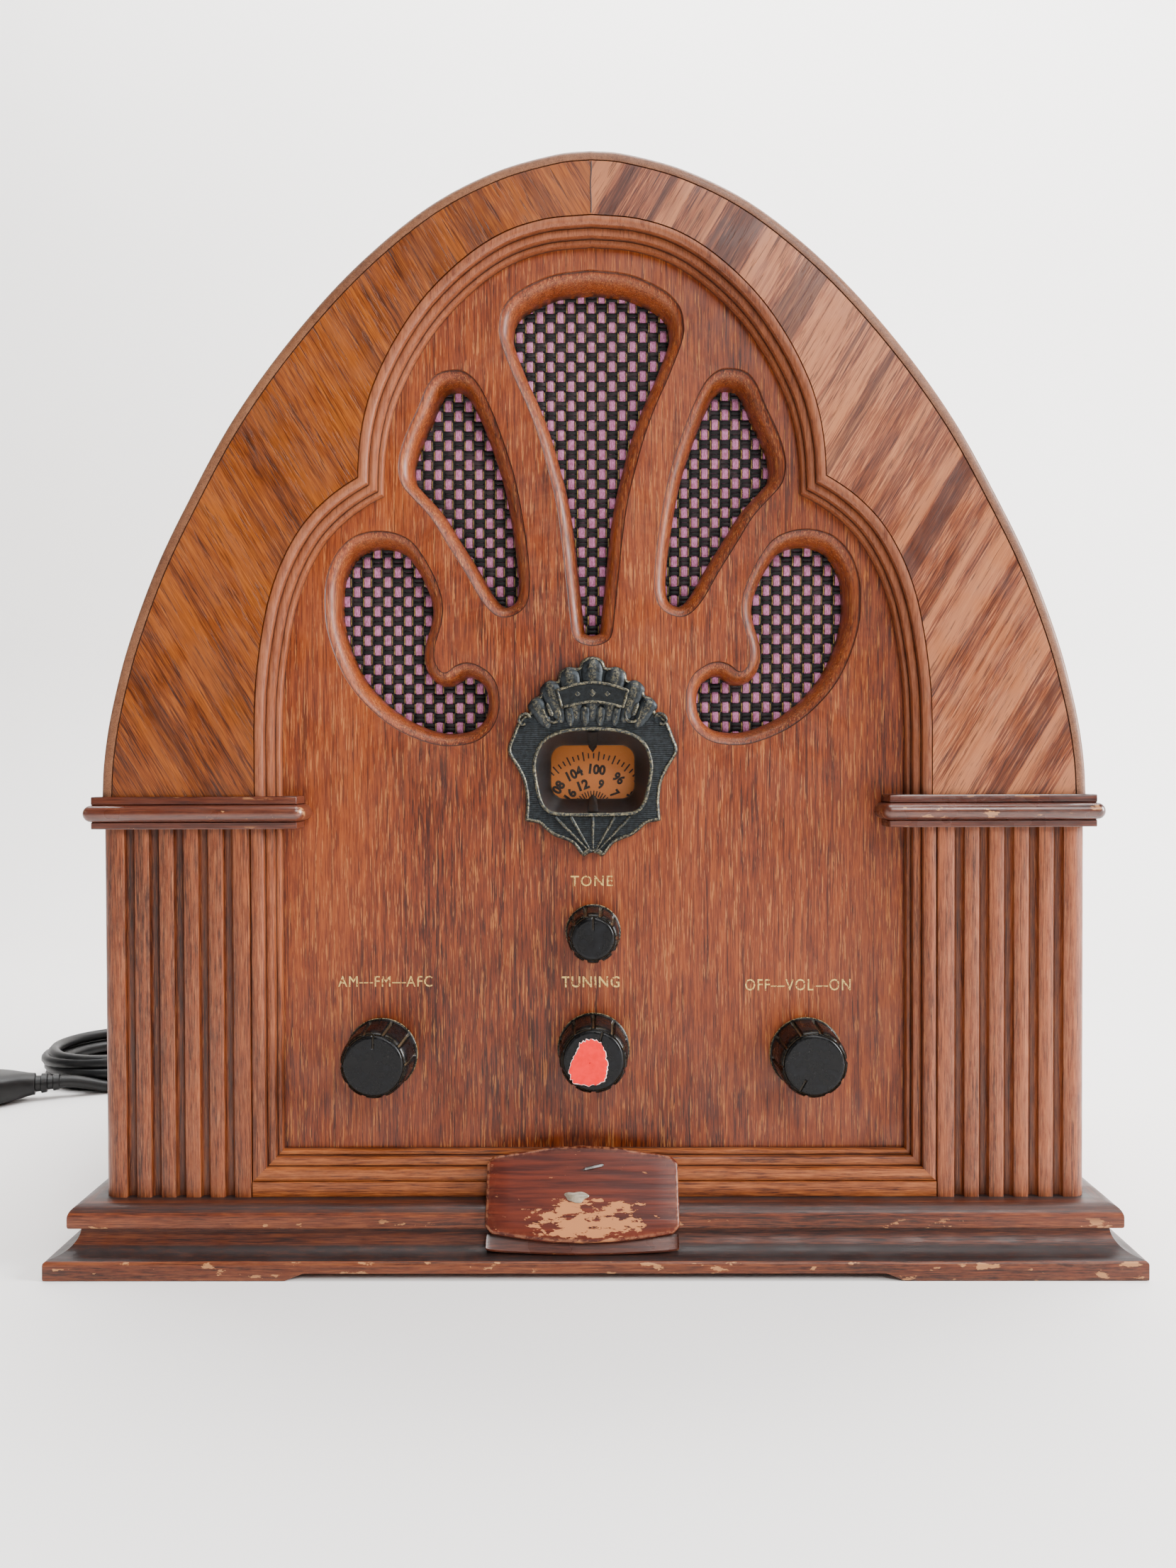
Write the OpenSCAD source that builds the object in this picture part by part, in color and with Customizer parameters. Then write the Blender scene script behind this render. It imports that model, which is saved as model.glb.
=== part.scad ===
// Small "cathedral" table radio: arched wooden cabinet, pierced grille
// front, cast dial escutcheon, four push-on knobs and the chassis behind
// them, with its mains lead coiled at the left.
// +Z is up, the front faces -Y, X = 0 is the centre line and Z = 0 is the
// surface that the radio stands on. All sizes are in millimetres.
// Depths in the modules are measured from the front of the plinth.

/* [Plinth] */
// Width of the plinth at its foot
base_w = 300; // [292:1:310]
// Depth of the plinth, front to back
base_d = 178; // [174:1:200]
// Height of the plinth ledge that the columns stand on
ledge_z = 18.6; // [18.6:0.1:18.6]
// Height of the relieved middle between the feet
foot_relief = 2.2; // [1:0.1:3]

/* [Cabinet] */
// Thickness of the bent plywood shell
shell_t = 6; // [5:0.5:7]
// Thickness of the pierced front board
baffle_t = 10; // [9.5:0.1:10]
// Width of the rounded rim round the arch
rim_w = 3.4; // [2:0.1:4]
// Width of the three-step inner moulding
mould_w = 7.4; // [7:0.1:8]
// Number of flutes in each column
flutes = 5; // [3:1:5]
// Radius of each flute
flute_r = 1.45; // [1:0.05:1.6]

/* [Controls] */
// Radius of the rim of the three large knobs
knob_r = 10.3; // [9:0.1:11]
// Radius of the rim of the tone knob
tone_r = 7.9; // [7:0.1:9]
// Length of a knob from rim to face
knob_len = 14.4; // [13:0.1:14.6]
// Number of grip slots round a knob
knob_slots = 10; // [6:1:12]
// Radius of the control shafts
shaft_r = 3; // [2.9:0.05:3]
// Side spacing of the band and volume controls from the centre
knob_x = 60.5; // [55:0.5:64]
// Height of the band and volume controls
knob_z = 57.6; // [55:0.1:62]
// Height of the tuning control
tune_z = 59; // [57:0.1:61]
// Height of the tone control
tone_z = 92.4; // [90:0.1:95]

/* [Dial] */
// Height of the centre of the dial
dial_z = 126.4; // [126.4:0.1:126.4]
// Radius of the printed dial disc
dial_r = 21.8; // [21.4:0.1:22.2]

/* [Loudspeaker] */
// Radius of the loudspeaker flange
spk_r = 50; // [46:1:52]
// Height of the centre of the loudspeaker
spk_z = 217; // [214:1:218]

/* [Mains lead] */
// Diameter of the lead
cord_d = 5; // [5:0.1:5.2]
// Height of the lead's exit in the back
exit_z = 30; // [30:1:30]

/* [Hidden] */
$fn = 48;
front_y = -base_d / 2;
col_x = 138;      // half width over the columns and the shell
col_y = 12;       // column face, back from the plinth front
panel_y = 19.2;   // face of the front board
screw_r = 47.5;   // the loudspeaker's screws, out from its centre
back_y = base_d - 3;  // rear edge of the shell
panel_back = panel_y + baffle_t;
cap_z = 122.4;    // underside and top of the capitals
cap_top = 131.4;
// steps of the inner moulding: outer and inner inset, depth
leg_steps = [[0, 3.6, 0], [3.6, 6, 2.4], [6, mould_w, 4.8]];
arch_steps = [[1.1, 3.8, 0], [3.8, 6, 2.4], [6, mould_w, 4.8]];
plate_y = 38;     // front of the chassis plate
plate_t = 1.2;
drum_r = 17.9;    // cord groove of the dial drum
groove_r = 2.6;   // cord groove of the tuning spindle
knob_back = 18.4; // rear face of a knob's rim
face_y = knob_back - knob_len;
exit_x = -70;
coil_c = [-216, 220];
cord_r = cord_d / 2;

// right half of the arch, springing to crown
arch_pts = [[138, ledge_z], [138, 100], [138, 131], [137, 145], [134.5, 158.5],
    [130, 175], [122.5, 195], [113.5, 213.5], [101, 236], [85.5, 257.5],
    [67, 278], [46.5, 295], [27.5, 305], [10, 310], [0, 311]];
// upper lobe and shoulder of the inner opening
lobe_pts = [[66.5, 221], [66, 229], [64.5, 238], [61.5, 247.5], [55.5, 259.5],
    [47, 271.5], [36, 282], [25, 289], [13, 292.8], [0, 294]];
shoulder_pts = [[96, 150], [95.5, 162], [94, 174.5], [91.5, 187], [87.5, 198],
    [82, 207.5], [75, 215], [66.5, 221], [56, 226]];
// grille openings: middle fan (right half), leaf and hook
fan_pts = [[0, 173.8], [2.5, 174.2], [4.9, 175.6], [5.9, 178], [6.5, 183],
    [7.5, 192.3], [8.9, 205.5], [10.5, 215.8], [12.8, 225], [15.2, 233.5],
    [18.2, 241.6], [22.3, 250.8], [26, 260.7], [26.3, 265.3], [25.3, 269.8],
    [22, 273.8], [16.5, 277], [10, 279.4], [0, 280.6]];
leaf_pts = [[39.5, 252.6], [36, 252], [32.5, 249], [29, 242.5], [25.5, 233.5],
    [22, 222.5], [19.8, 211.5], [18.2, 200.5], [17.6, 191.5], [18.6, 186],
    [21.5, 183], [25.5, 182], [28.7, 183.5], [32, 187.5], [36, 194.5],
    [41, 202.5], [46, 210.5], [51, 216], [54, 219.5], [55.2, 223.5],
    [55, 228], [53, 234.5], [49.5, 242], [47, 248], [44, 251.5]];
hook_pts = [[60.5, 207], [56, 206.3], [51.5, 204], [48, 199.5], [45, 194],
    [43, 188.5], [42.5, 183.5], [43.5, 178.5], [44.8, 174.3], [45, 170.2],
    [43.8, 167.4], [42.3, 166.4], [40.8, 167.2], [39, 168.6], [36, 169.4],
    [32.7, 168.6], [29, 166], [27, 162.2], [26.5, 158], [27, 154],
    [29, 150], [32.7, 147], [37, 145.7], [43, 145.5], [49, 147],
    [56.5, 150.5], [63.5, 156], [69.5, 163], [73.5, 171], [76, 179.5],
    [76.5, 186.5], [76, 193.5], [73.5, 200], [69.5, 204.5], [65, 206.5]];
// right half of the cast escutcheon, foot to crown
esc_pts = [[0, 115], [1.4, 114.6], [2.4, 113.9], [3.6, 114.6], [5.6, 117.3],
    [8, 118.6], [11, 119.7], [13.4, 121.5], [15.4, 123.3], [18.6, 123.9],
    [19.3, 124.6], [19, 129.6], [19.7, 135], [21.6, 139.2], [24.2, 143.9],
    [23, 148], [21.5, 151.8], [19.6, 154.2], [17.9, 154.8], [18.1, 157],
    [16.8, 159], [14.9, 159.8], [14.6, 162.2], [12.4, 164], [10, 163.9],
    [9.5, 166.2], [7, 167.8], [4, 167.6], [3.3, 169.3], [1.8, 170.4],
    [0, 170.8]];
// the lead on its way from the cabinet to the coil, and from coil to plug
run_pts = [[-70, 200, 30], [-70, 216, 27.5], [-71, 231, 18.5], [-75, 244, 8],
    [-85, 255, 3], [-102, 261, 2.7], [-122, 259, 2.7], [-138, 251, 2.7],
    [-149, 242.5, 2.8], [-158, 235, 4.4], [-168, 226, 8.6],
    [-177.5, 217.5, 12.2], [-186, 209.5, 12.6], [-195, 200, 12.6]];
tail_pts = [[-204.5, 188, 2.6], [-210, 186, 3], [-216, 183.8, 4.8],
    [-222, 181.6, 6.3], [-227, 179.8, 6.6]];
cleat_xz = [[-123, 45], [123, 45], [-112, 178], [112, 178], [0, 294]];

// ---- curves -------------------------------------------------------------
function unit(v) = v / norm(v);
function blend4(a, b, c, d, t) = 0.5 * (2 * b + (c - a) * t
    + (2 * a - 5 * b + 4 * c - d) * t * t + (3 * b - a - 3 * c + d) * t * t * t);
// smooth open curve through the points, n steps to each span
function curve(p, n) = [for (i = [0:len(p) - 2]) for (k = [0:n - 1])
    blend4(i > 0 ? p[i - 1] : 2 * p[0] - p[1], p[i], p[i + 1],
        i + 2 < len(p) ? p[i + 2] : 2 * p[i + 1] - p[i], k / n), p[len(p) - 1]];
// smooth closed curve through the points
function ring(p, n) = [for (i = [0:len(p) - 1]) for (k = [0:n - 1])
    blend4(p[(i + len(p) - 1) % len(p)], p[i], p[(i + 1) % len(p)],
        p[(i + 2) % len(p)], k / n)];
// a curve moved sideways by d, to the left of its direction
function beside(q, d) = [for (i = [0:len(q) - 1])
    let (t = unit(q[min(i + 1, len(q) - 1)] - q[max(i - 1, 0)]))
    i == len(q) - 1 && abs(q[i][0]) < 0.01 ? [0, q[i][1] - d]
        : i == 0 && abs(q[i][0]) < 0.01 ? [0, q[i][1] + d]
        : q[i] + d * [-t[1], t[0]]];
function ring_inset(q, d) = [for (i = [0:len(q) - 1])
    let (t = unit(q[(i + 1) % len(q)] - q[(i + len(q) - 1) % len(q)]))
    q[i] + d * [-t[1], t[0]]];
// a right half, mirrored to a whole outline
function whole(q) = concat(q, [for (i = [len(q) - 1:-1:0])
    if (abs(q[i][0]) > 0.01) [-q[i][0], q[i][1]]]);

// ---- placing ------------------------------------------------------------
// an X-Z outline between the depths a and b
module slab(a, b) translate([0, b + front_y, 0]) rotate([90, 0, 0])
    linear_extrude(height = b - a) children();
// a cylinder or cone along Y, from depth a to depth b
module rod(x, z, a, b, r, r2 = -1) translate([x, a + front_y, z])
    rotate([-90, 0, 0]) cylinder(h = b - a, r1 = r, r2 = r2 < 0 ? r : r2);
// a box given by its two corners, with depths from the plinth front
module box(x0, y0, z0, x1, y1, z1) translate([x0, y0 + front_y, z0])
    cube([x1 - x0, y1 - y0, z1 - z0]);
module both() { children(); mirror([1, 0, 0]) children(); }

// ---- outlines -----------------------------------------------------------
module arch_2d(d = 0) polygon(whole(beside(curve(arch_pts, 4), d)));
module lobe_2d(d) polygon(whole(concat(
    [[66.5 - d, 190]], beside(curve(lobe_pts, 4), d))));
module lower_2d(d) polygon(whole(concat(
    [[96 - d, 23 + d], [96 - d, 100]], beside(curve(shoulder_pts, 4), d),
    [[0, 226]])));
module opening_2d(d = 0) { lobe_2d(d); lower_2d(d); }

// ---- plinth -------------------------------------------------------------
// cross-section: depth from the outer foot edge, height
module plinth_2d() {
    difference() {
        polygon([[18, 0], [0.5, 0], [0, 0.5], [0, 4.6], [0.5, 5.2], [1, 5.5],
            [1, 12.4], [18, 12.4]]);
        translate([0.9, 12.2]) circle(r = 6.7);
    }
    translate([7.9, 15.3]) circle(r = 3.2);
    polygon([[4.7, 15.3], [4.7, 12.9], [5.1, 12.4], [18, 12.4],
        [18, ledge_z], [7.9, ledge_z], [7.9, 15.3]]);
}
module foot_gap_2d(half) polygon([[-half - 5.5, -1], [-half - 5.5, 0],
    [-half, foot_relief], [half, foot_relief], [half + 5.5, 0],
    [half + 5.5, -1]]);
module plinth_front() color("sienna") difference() {
    intersection() {
        translate([-base_w / 2, front_y, 0]) rotate([90, 0, 90])
            linear_extrude(height = base_w) plinth_2d();
        translate([0, front_y, -1]) linear_extrude(height = 30)
            polygon([[-base_w / 2, 0], [base_w / 2, 0],
                [base_w / 2 - 18, 18], [18 - base_w / 2, 18]]);
    }
    slab(-1, 30) foot_gap_2d(78.5);
}
module plinth_side() difference() {
    intersection() {
        translate([base_w / 2, -front_y, 0]) rotate([90, 0, 0])
            linear_extrude(height = base_d) mirror([1, 0]) plinth_2d();
        translate([0, front_y, -1]) linear_extrude(height = 30)
            polygon([[base_w / 2, 0], [base_w / 2, base_d],
                [base_w / 2 - 18, base_d], [base_w / 2 - 18, 18]]);
    }
    rotate([90, 0, 90])
        linear_extrude(height = 200) foot_gap_2d(40);
}
module plinth_right() color("sienna") plinth_side();
module plinth_left() color("sienna") mirror([1, 0, 0]) plinth_side();
module base_board() color("peru") difference() {
    box(18 - base_w / 2, 18, 4, base_w / 2 - 18, base_d, ledge_z);
    for (x = [-62:12:62]) box(x - 2.5, 62, 0, x + 2.5, 122, 30);
}

// ---- cabinet ------------------------------------------------------------
module cabinet_shell() color("saddlebrown") slab(panel_y, back_y) difference() {
    arch_2d();
    arch_2d(shell_t);
    translate([shell_t - 138, 0]) square([2 * (138 - shell_t), 60]);
}
module grille_2d(d) {
    polygon(whole(beside(curve(fan_pts, 3), d)));
    both() polygon(ring_inset(ring(leaf_pts, 2), d));
    both() polygon(ring_inset(ring(hook_pts, 2), d));
}
module dial_window_2d(g = 0) translate([0, 137.9])
    polygon([for (c = [[1, 1], [-1, 1], [-1, -1], [1, -1]])
        for (k = [0:5]) let (a = atan2(c[1], c[0]) - 45 + k * 18)
        [c[0] * (9 + g), c[1] * (4.6 + g)] + 4 * [cos(a), sin(a)]]);
module front_baffle() color("sienna") difference() {
    slab(panel_y, panel_back) intersection() {
        arch_2d(shell_t + 0.1);
        translate([-150, ledge_z]) square([300, 300]);
    }
    slab(panel_y - 1, panel_back + 1) grille_2d(3);
    slab(panel_y - 1, panel_y + 1.8) grille_2d(1.4);
    slab(panel_y - 1, panel_back + 1) dial_window_2d(3);
    for (p = [[-knob_x, knob_z], [knob_x, knob_z], [0, tune_z], [0, tone_z]])
        rod(p[0], p[1], panel_y - 1, panel_back + 1, 4.7);
    at_screws(24, panel_back + 1, 1.3);
}
module arch_frame(s) intersection() {
    difference() {
        union() {
            slab(col_y + rim_w / 2, panel_y) arch_2d();
            slab(col_y + rim_w / 6, col_y + rim_w / 2) arch_2d(rim_w / 8);
            slab(col_y, col_y + rim_w / 6) arch_2d(rim_w / 2);
        }
        slab(col_y - 1, panel_y + 1) opening_2d(arch_steps[0][0]);
    }
    slab(col_y, panel_y) translate([s < 0 ? -200 : 0, cap_top])
        square([200, 200]);
}
module arch_frame_left() color("chocolate") arch_frame(-1);
module arch_frame_right() color("peru") arch_frame(1);
// half of the stepped moulding between two heights, mitred at its foot
module moulding(s, z0, z1, steps) difference() {
    intersection() {
        for (k = steps) slab(col_y + k[2], panel_y) difference() {
            opening_2d(k[0]);
            opening_2d(k[1]);
        }
        slab(col_y, panel_y) translate([s < 0 ? -200 : 0, z0])
            square([200, z1 - z0]);
    }
    slab(col_y - 1, panel_y + 1)
        polygon([[-119, 0], [0, 119], [119, 0], [0, -119]]);
}
module arch_moulding_left() color("sienna")
    moulding(-1, cap_top, 320, arch_steps);
module arch_moulding_right() color("sienna")
    moulding(1, cap_top, 320, arch_steps);
module side_moulding_left() color("rosybrown")
    moulding(-1, ledge_z, cap_z, leg_steps);
module side_moulding_right() color("sienna")
    moulding(1, ledge_z, cap_z, leg_steps);
module bottom_rail() color("chocolate") {
    slab(col_y, panel_y) translate([-96, ledge_z]) square([192, 23 - ledge_z]);
    for (k = leg_steps)
        slab(col_y + k[2], panel_y) polygon([[k[0] - 96, 23 + k[0]],
            [96 - k[0], 23 + k[0]], [96 - k[1], 23 + k[1]],
            [k[1] - 96, 23 + k[1]]]);
}
module column() difference() {
    box(96.2, col_y, ledge_z, col_x, panel_y, cap_z);
    for (k = [0:flutes - 1]) translate([102.4 + 6.9 * k,
            col_y + 0.6 + front_y, ledge_z - 1]) {
        cylinder(r = flute_r, h = 120);
        translate([-flute_r, -3, 0]) cube([2 * flute_r, 3, 120]);
    }
    difference() {
        box(col_x - 4, col_y - 1, ledge_z - 1, col_x + 1, col_y + 4, 123);
        translate([col_x - 4, col_y + 4 + front_y, 0])
            cylinder(r = 4, h = 200);
    }
}
module column_right() color("sienna") column();
module column_left() color("sienna") mirror([1, 0, 0]) column();
// capital: two fillets and a bullnose returned round both ends
module capital() {
    x0 = 82.65;
    x1 = 139.75;
    mid = 126.75;
    nose = 2.35;
    for (z = [[cap_z, mid - nose], [mid + nose, cap_top]])
        box(x0 - 0.15, 10.1, z[0], x1 + 0.15, panel_y, z[1]);
    box(x0, 10.25, mid - nose, x1, panel_y, mid + nose);
    for (x = [x0, x1]) {
        rod(x, mid, 10.25, panel_y, nose);
        translate([x, 10.25 + front_y, mid]) sphere(r = nose);
    }
    translate([x0, 10.25 + front_y, mid]) rotate([0, 90, 0])
        cylinder(r = nose, h = x1 - x0);
}
module capital_right() color("sienna") capital();
module capital_left() color("saddlebrown") mirror([1, 0, 0]) capital();
// blank name tablet: it leans back in the corner of rail and plinth
module tablet_place() translate([-3.2, 4.7 + front_y, 11])
    rotate([64, 0, 0]) children();
module tablet_2d() polygon([[-24.8, 0], [-26.6, 1.8], [-26.6, 18.4],
    [-24.6, 20.4], [-17, 21.4], [-9, 22.7], [0, 23.2], [9, 22.7],
    [17, 21.4], [24.6, 20.4], [26.6, 18.4], [26.6, 1.8], [24.8, 0],
    [17, -1.2], [9, -2.1], [0, -2.4], [-9, -2.1], [-17, -1.2]]);
// what the tablet and its block are cut to fit: plinth, rail and column line
module corner_space() translate([-160, front_y, 0]) rotate([90, 0, 90])
    linear_extrude(height = 320) {
        plinth_2d();
        translate([col_y, 10]) square([20, 60]);
        translate([0, -1]) square([20, 6]);
    }
module plaque() color("brown") difference() {
    tablet_place() linear_extrude(height = 3.6) tablet_2d();
    corner_space();
}
module plaque_block() color("saddlebrown") difference() {
    slab(1.9, col_y) translate([-3.2, 0]) polygon([[-26.4, 8.4], [-25, 7],
        [-12, 6.2], [0, 5.9], [12, 6.2], [25, 7], [26.4, 8.4], [26.4, 28],
        [-26.4, 28]]);
    corner_space();
    tablet_place() translate([-40, -40, -0.02]) cube([80, 90, 60]);
}

// ---- grille cloth and loudspeaker ---------------------------------------
// a rod at each of the loudspeaker's four screws
module at_screws(y0, y1, r0, r1 = -1) for (a = [45:90:315])
    rod(screw_r * cos(a), spk_z + screw_r * sin(a), y0, y1, r0, r1);
module grille_cloth() color("plum") difference() {
    slab(panel_back + 0.1, panel_back + 0.8) polygon([[-82, 146.8],
        [82, 146.8], [82, 196], [64, 246], [36, 276], [12, 284.5],
        [-12, 284.5], [-36, 276], [-64, 246], [-82, 196]]);
    at_screws(20, 40, 1.6);
}
module spin(z = spk_z) translate([0, front_y, z]) rotate([-90, 0, 0])
    rotate_extrude($fn = 96) children();
module speaker_basket() color("silver") difference() {
    spin() polygon([[43, 30.1], [spk_r, 30.1], [spk_r, 31.3], [45.2, 31.3],
        [26.2, 51], [26.2, 53], [9, 53], [9, 51.8], [25, 51.8], [25, 50.4],
        [43, 31.4]]);
    at_screws(25, 40, 1.6);
    for (a = [0:60:300]) translate([0, front_y, spk_z]) rotate([0, a, 0])
        translate([20, 36, -6]) cube([30, 11, 12]);
}
module speaker_cone() color("dimgray") {
    spin() polygon([[42.8, 30.4], [42.8, 31.4], [41, 31.2], [39, 32.4],
        [37, 31.4], [12, 49.4], [8.6, 49.4], [8.6, 48.8], [11.8, 48.8],
        [37, 30.7], [39, 31.6], [41, 30.4]]);
    spin() polygon([[0, 45], [5, 45.6], [10, 47.6], [12, 49], [11, 49.4],
        [0, 46.2]]);
}
module speaker_magnet() color("slategray") spin() polygon([[0, 49.8],
    [8, 49.8], [8, 53.1], [24, 53.1], [24, 67], [22, 68], [0, 68]]);
module speaker_screws() color("gainsboro") {
    at_screws(24.2, 31.4, 1.25);
    at_screws(31.35, 32.8, 2.1, 1.5);
}

// ---- dial ---------------------------------------------------------------
module dial_escutcheon() color("darkslategray") difference() {
    union() {
        slab(16.9, panel_y - 0.02) polygon(whole(esc_pts));
        slab(16.2, 17) polygon(whole(beside([for (p = esc_pts)
            [p[0] * 0.97, 137.9 + (p[1] - 137.9) * 0.97]], 0.3)));
        slab(18.5, 27.4) dial_window_2d(2.6);
    }
    slab(25, 28) dial_window_2d(-0.8);
    for (k = [0:9]) slab(16 + k, 17.02 + k) dial_window_2d(3.3 - 0.42 * k);
}
module dial_lens() color("lightcyan") slab(27.5, 28.4) dial_window_2d(2.5);
module dial_disc() color("orange") difference() {
    rod(0, dial_z, 30.8, 31.6, dial_r);
    rod(0, dial_z, 30, 32, 1.6);
}
module dial_drum() color("ivory") difference() {
    union() {
        rod(0, dial_z, 31.6, 33, drum_r + 1);
        rod(0, dial_z, 32.8, 34.4, drum_r);
        rod(0, dial_z, 34.2, 35.6, drum_r + 1);
        rod(0, dial_z, 35.5, 36, 5.5);
    }
    rod(0, dial_z, 31, 37, shaft_r + 0.02);
    for (a = [0:60:300]) rod(11 * cos(a), dial_z + 11 * sin(a), 31, 37, 3.6);
}
module dial_shaft() color("silver") {
    rod(0, dial_z, 30.2, 44, 1.5);
    rod(0, dial_z, 31.7, 44, shaft_r);
    rod(0, dial_z, 29.9, 30.7, 2.6);
}
module tuning_capacitor() color("gainsboro") difference() {
    union() {
        rod(0, dial_z, 36.6, 39.4, 4.6);
        box(-15, 39.3, dial_z - 16, 15, 61, dial_z + 14);
        for (k = [0:6]) box(-11, 43 + 2.6 * k, dial_z + 13.9, 11,
            43.9 + 2.6 * k, dial_z + 21);
    }
    rod(0, dial_z, 36, 45, shaft_r + 0.06);
}
module dial_lamp() color("lemonchiffon") {
    rod(27, 140, 32, 36, 2.4);
    rod(27, 140, 35.9, 38, 4);
    translate([27, 32 + front_y, 140]) sphere(r = 2.4);
}
// drive cord: a loop round the drum above and the tuning spindle below
function belt(r1, z1, r2, z2) = let (lean = asin((r1 - r2) / (z1 - z2)))
    concat([for (k = [0:24]) let (a = -lean + (180 + 2 * lean) * k / 24)
            [r1 * cos(a), z1 + r1 * sin(a)]],
        [for (k = [0:12]) let (a = 180 + lean + (180 - 2 * lean) * k / 12)
            [r2 * cos(a), z2 + r2 * sin(a)]]);
module dial_cord() color("khaki") slab(33.3, 34) difference() {
    polygon(belt(drum_r + 0.8, dial_z, groove_r + 0.8, tune_z));
    polygon(belt(drum_r + 0.1, dial_z, groove_r + 0.1, tune_z));
}

// ---- controls -----------------------------------------------------------
// turn points the knob's groove: 0 is up, and it grows clockwise
module knob(x, z, r, face_r, turn) difference() {
    union() {
        rod(x, z, knob_back - 0.8, knob_back, r);
        rod(x, z, face_y + 1.2, knob_back - 0.7, r - 0.9, r - 0.5);
        rod(x, z, face_y + 0.5, face_y + 1.3, r - 1.5, r - 0.9);
        rod(x, z, face_y, face_y + 0.6, face_r - 0.5, face_r);
    }
    rod(x, z, face_y + 4, knob_back + 1, shaft_r + 0.02);
    for (k = [0:knob_slots - 1]) translate([x, front_y, z])
        rotate([0, turn + k * 360 / knob_slots, 0])
        translate([r - 1.5, face_y, -0.6]) cube([3, knob_len - 0.8, 1.2]);
    translate([x, front_y, z]) rotate([0, turn, 0])
        translate([-0.35, face_y - 1, face_r - 3.6]) cube([0.7, 1.4, 5]);
}
module spindle(x, z, y1) {
    rod(x, z, face_y + 4.3, y1, shaft_r);
    rod(x, z, y1 - 0.1, y1 + 0.8, shaft_r - 0.5);
}
// rotary control body with its threaded bush through the chassis plate
module pot(x, z, r, y1) difference() {
    union() {
        rod(x, z, 31, plate_y + plate_t + 0.1, 3.6);
        rod(x, z, plate_y + plate_t, y1, r);
        box(x - 8, plate_y + plate_t + 2, z - r - 5, x + 8,
            plate_y + plate_t + 3, z - 2);
    }
    rod(x, z, 30, y1 - 2, shaft_r + 0.06);
}
module knob_band() color("#181818") knob(-knob_x, knob_z, knob_r, 8.4, 0);
module knob_tuning() color("#181818") knob(0, tune_z, knob_r, 8.4, 18);
module knob_volume() color("#181818") knob(knob_x, knob_z, knob_r, 8.4, 210);
module knob_tone() color("#181818") knob(0, tone_z, tone_r, 6, 0);
module knob_sticker() color("crimson") slab(face_y - 0.2, face_y - 0.02)
    translate([-1, tune_z - 0.6]) polygon([[-4.8, -5.4], [0.4, -6.2],
        [4.4, -4.6], [5, 0], [3.6, 4.8], [0.6, 6.6], [-2.4, 5.6], [-4, 2.4],
        [-5.6, -1]]);
module band_shaft() color("silver") spindle(-knob_x, knob_z, 46);
module volume_shaft() color("silver") spindle(knob_x, knob_z, 46);
module tone_shaft() color("silver") spindle(0, tone_z, 46);
module tuning_shaft() color("goldenrod") {
    rod(0, tune_z, face_y + 4.3, 33, shaft_r);
    rod(0, tune_z, 32.9, 34.3, groove_r);
    rod(0, tune_z, 34.2, 42, shaft_r);
    rod(0, tune_z, 42.1, 42.9, 4.4);
    rod(0, tune_z, 41.9, 44, 2.4);
}
module band_switch() color("tan") pot(-knob_x, knob_z, 13, 52);
module volume_pot() color("lightsteelblue") pot(knob_x, knob_z, 12, 54);
module tone_pot() color("lightsteelblue") pot(0, tone_z, 8.5, 50);
module control_nuts() color("gold")
    for (p = [[-knob_x, knob_z], [knob_x, knob_z], [0, tone_z]])
        difference() {
            translate([p[0], 35.6 + front_y, p[1]]) rotate([-90, 0, 0])
                cylinder(r = 6, h = 2.4, $fn = 6);
            rod(p[0], p[1], 35, 39, 3.62);
        }

// ---- chassis ------------------------------------------------------------
module chassis_bracket() color("silver") difference() {
    union() {
        box(-80, plate_y, 32, 80, plate_y + plate_t, 106);
        box(-32, plate_y, 105, 32, plate_y + plate_t, 146);
        box(-80, plate_y, 32, 80, 120, 33.2);
        both() box(78.8, 45, ledge_z, 80, 115, 33);
        both() box(78.8, 45, ledge_z, 92, 115, ledge_z + 1.2);
        rod(0, tune_z, 34.9, 41.8, 5);
    }
    for (p = [[-knob_x, knob_z, 3.7], [knob_x, knob_z, 3.7],
            [0, tone_z, 3.7], [0, dial_z, 4.7], [0, tune_z, shaft_r + 0.05]])
        rod(p[0], p[1], 30, 60, p[2]);
    both() for (z = [50, 84]) rod(36, z, 30, 60, 4);
}
module circuit_board() color("olivedrab") difference() {
    box(-74, 62, 33.2, 74, 136, 34.8);
    both() translate([70, 66 + front_y, 30]) cylinder(r = 1.6, h = 8);
}
module if_cans() color("silver") for (k = [0:4])
    box(-58 + 18 * k, 100, 34.8, -50 + 18 * k, 108, 48);
module electrolytics() color("steelblue") {
    for (p = [[-60, 76, 4, 11], [-42, 74, 5, 12], [30, 78, 8, 22],
            [52, 76, 6.5, 18], [60, 100, 4, 11]])
        translate([p[0], p[1] + front_y, 34.8])
            cylinder(r = p[2], h = p[3]);
}
module ferrite_antenna() color("dimgray") {
    translate([-50, 128 + front_y, 56]) rotate([0, 90, 0])
        cylinder(r = 5, h = 100);
    for (x = [-36, 12]) translate([x, 128 + front_y, 56]) rotate([0, 90, 0])
        cylinder(r = 6.4, h = 18);
    for (x = [-44, 38]) box(x, 124, 34.8, x + 5, 132, 54);
}
module power_transformer() color("gray") {
    box(92, 118, ledge_z + 1.4, 128, 134, ledge_z + 33);
    box(98, 111, ledge_z + 6, 122, 141, ledge_z + 28);
    box(86, 117, ledge_z, 131.4, 135, ledge_z + 1.5);
}

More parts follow.
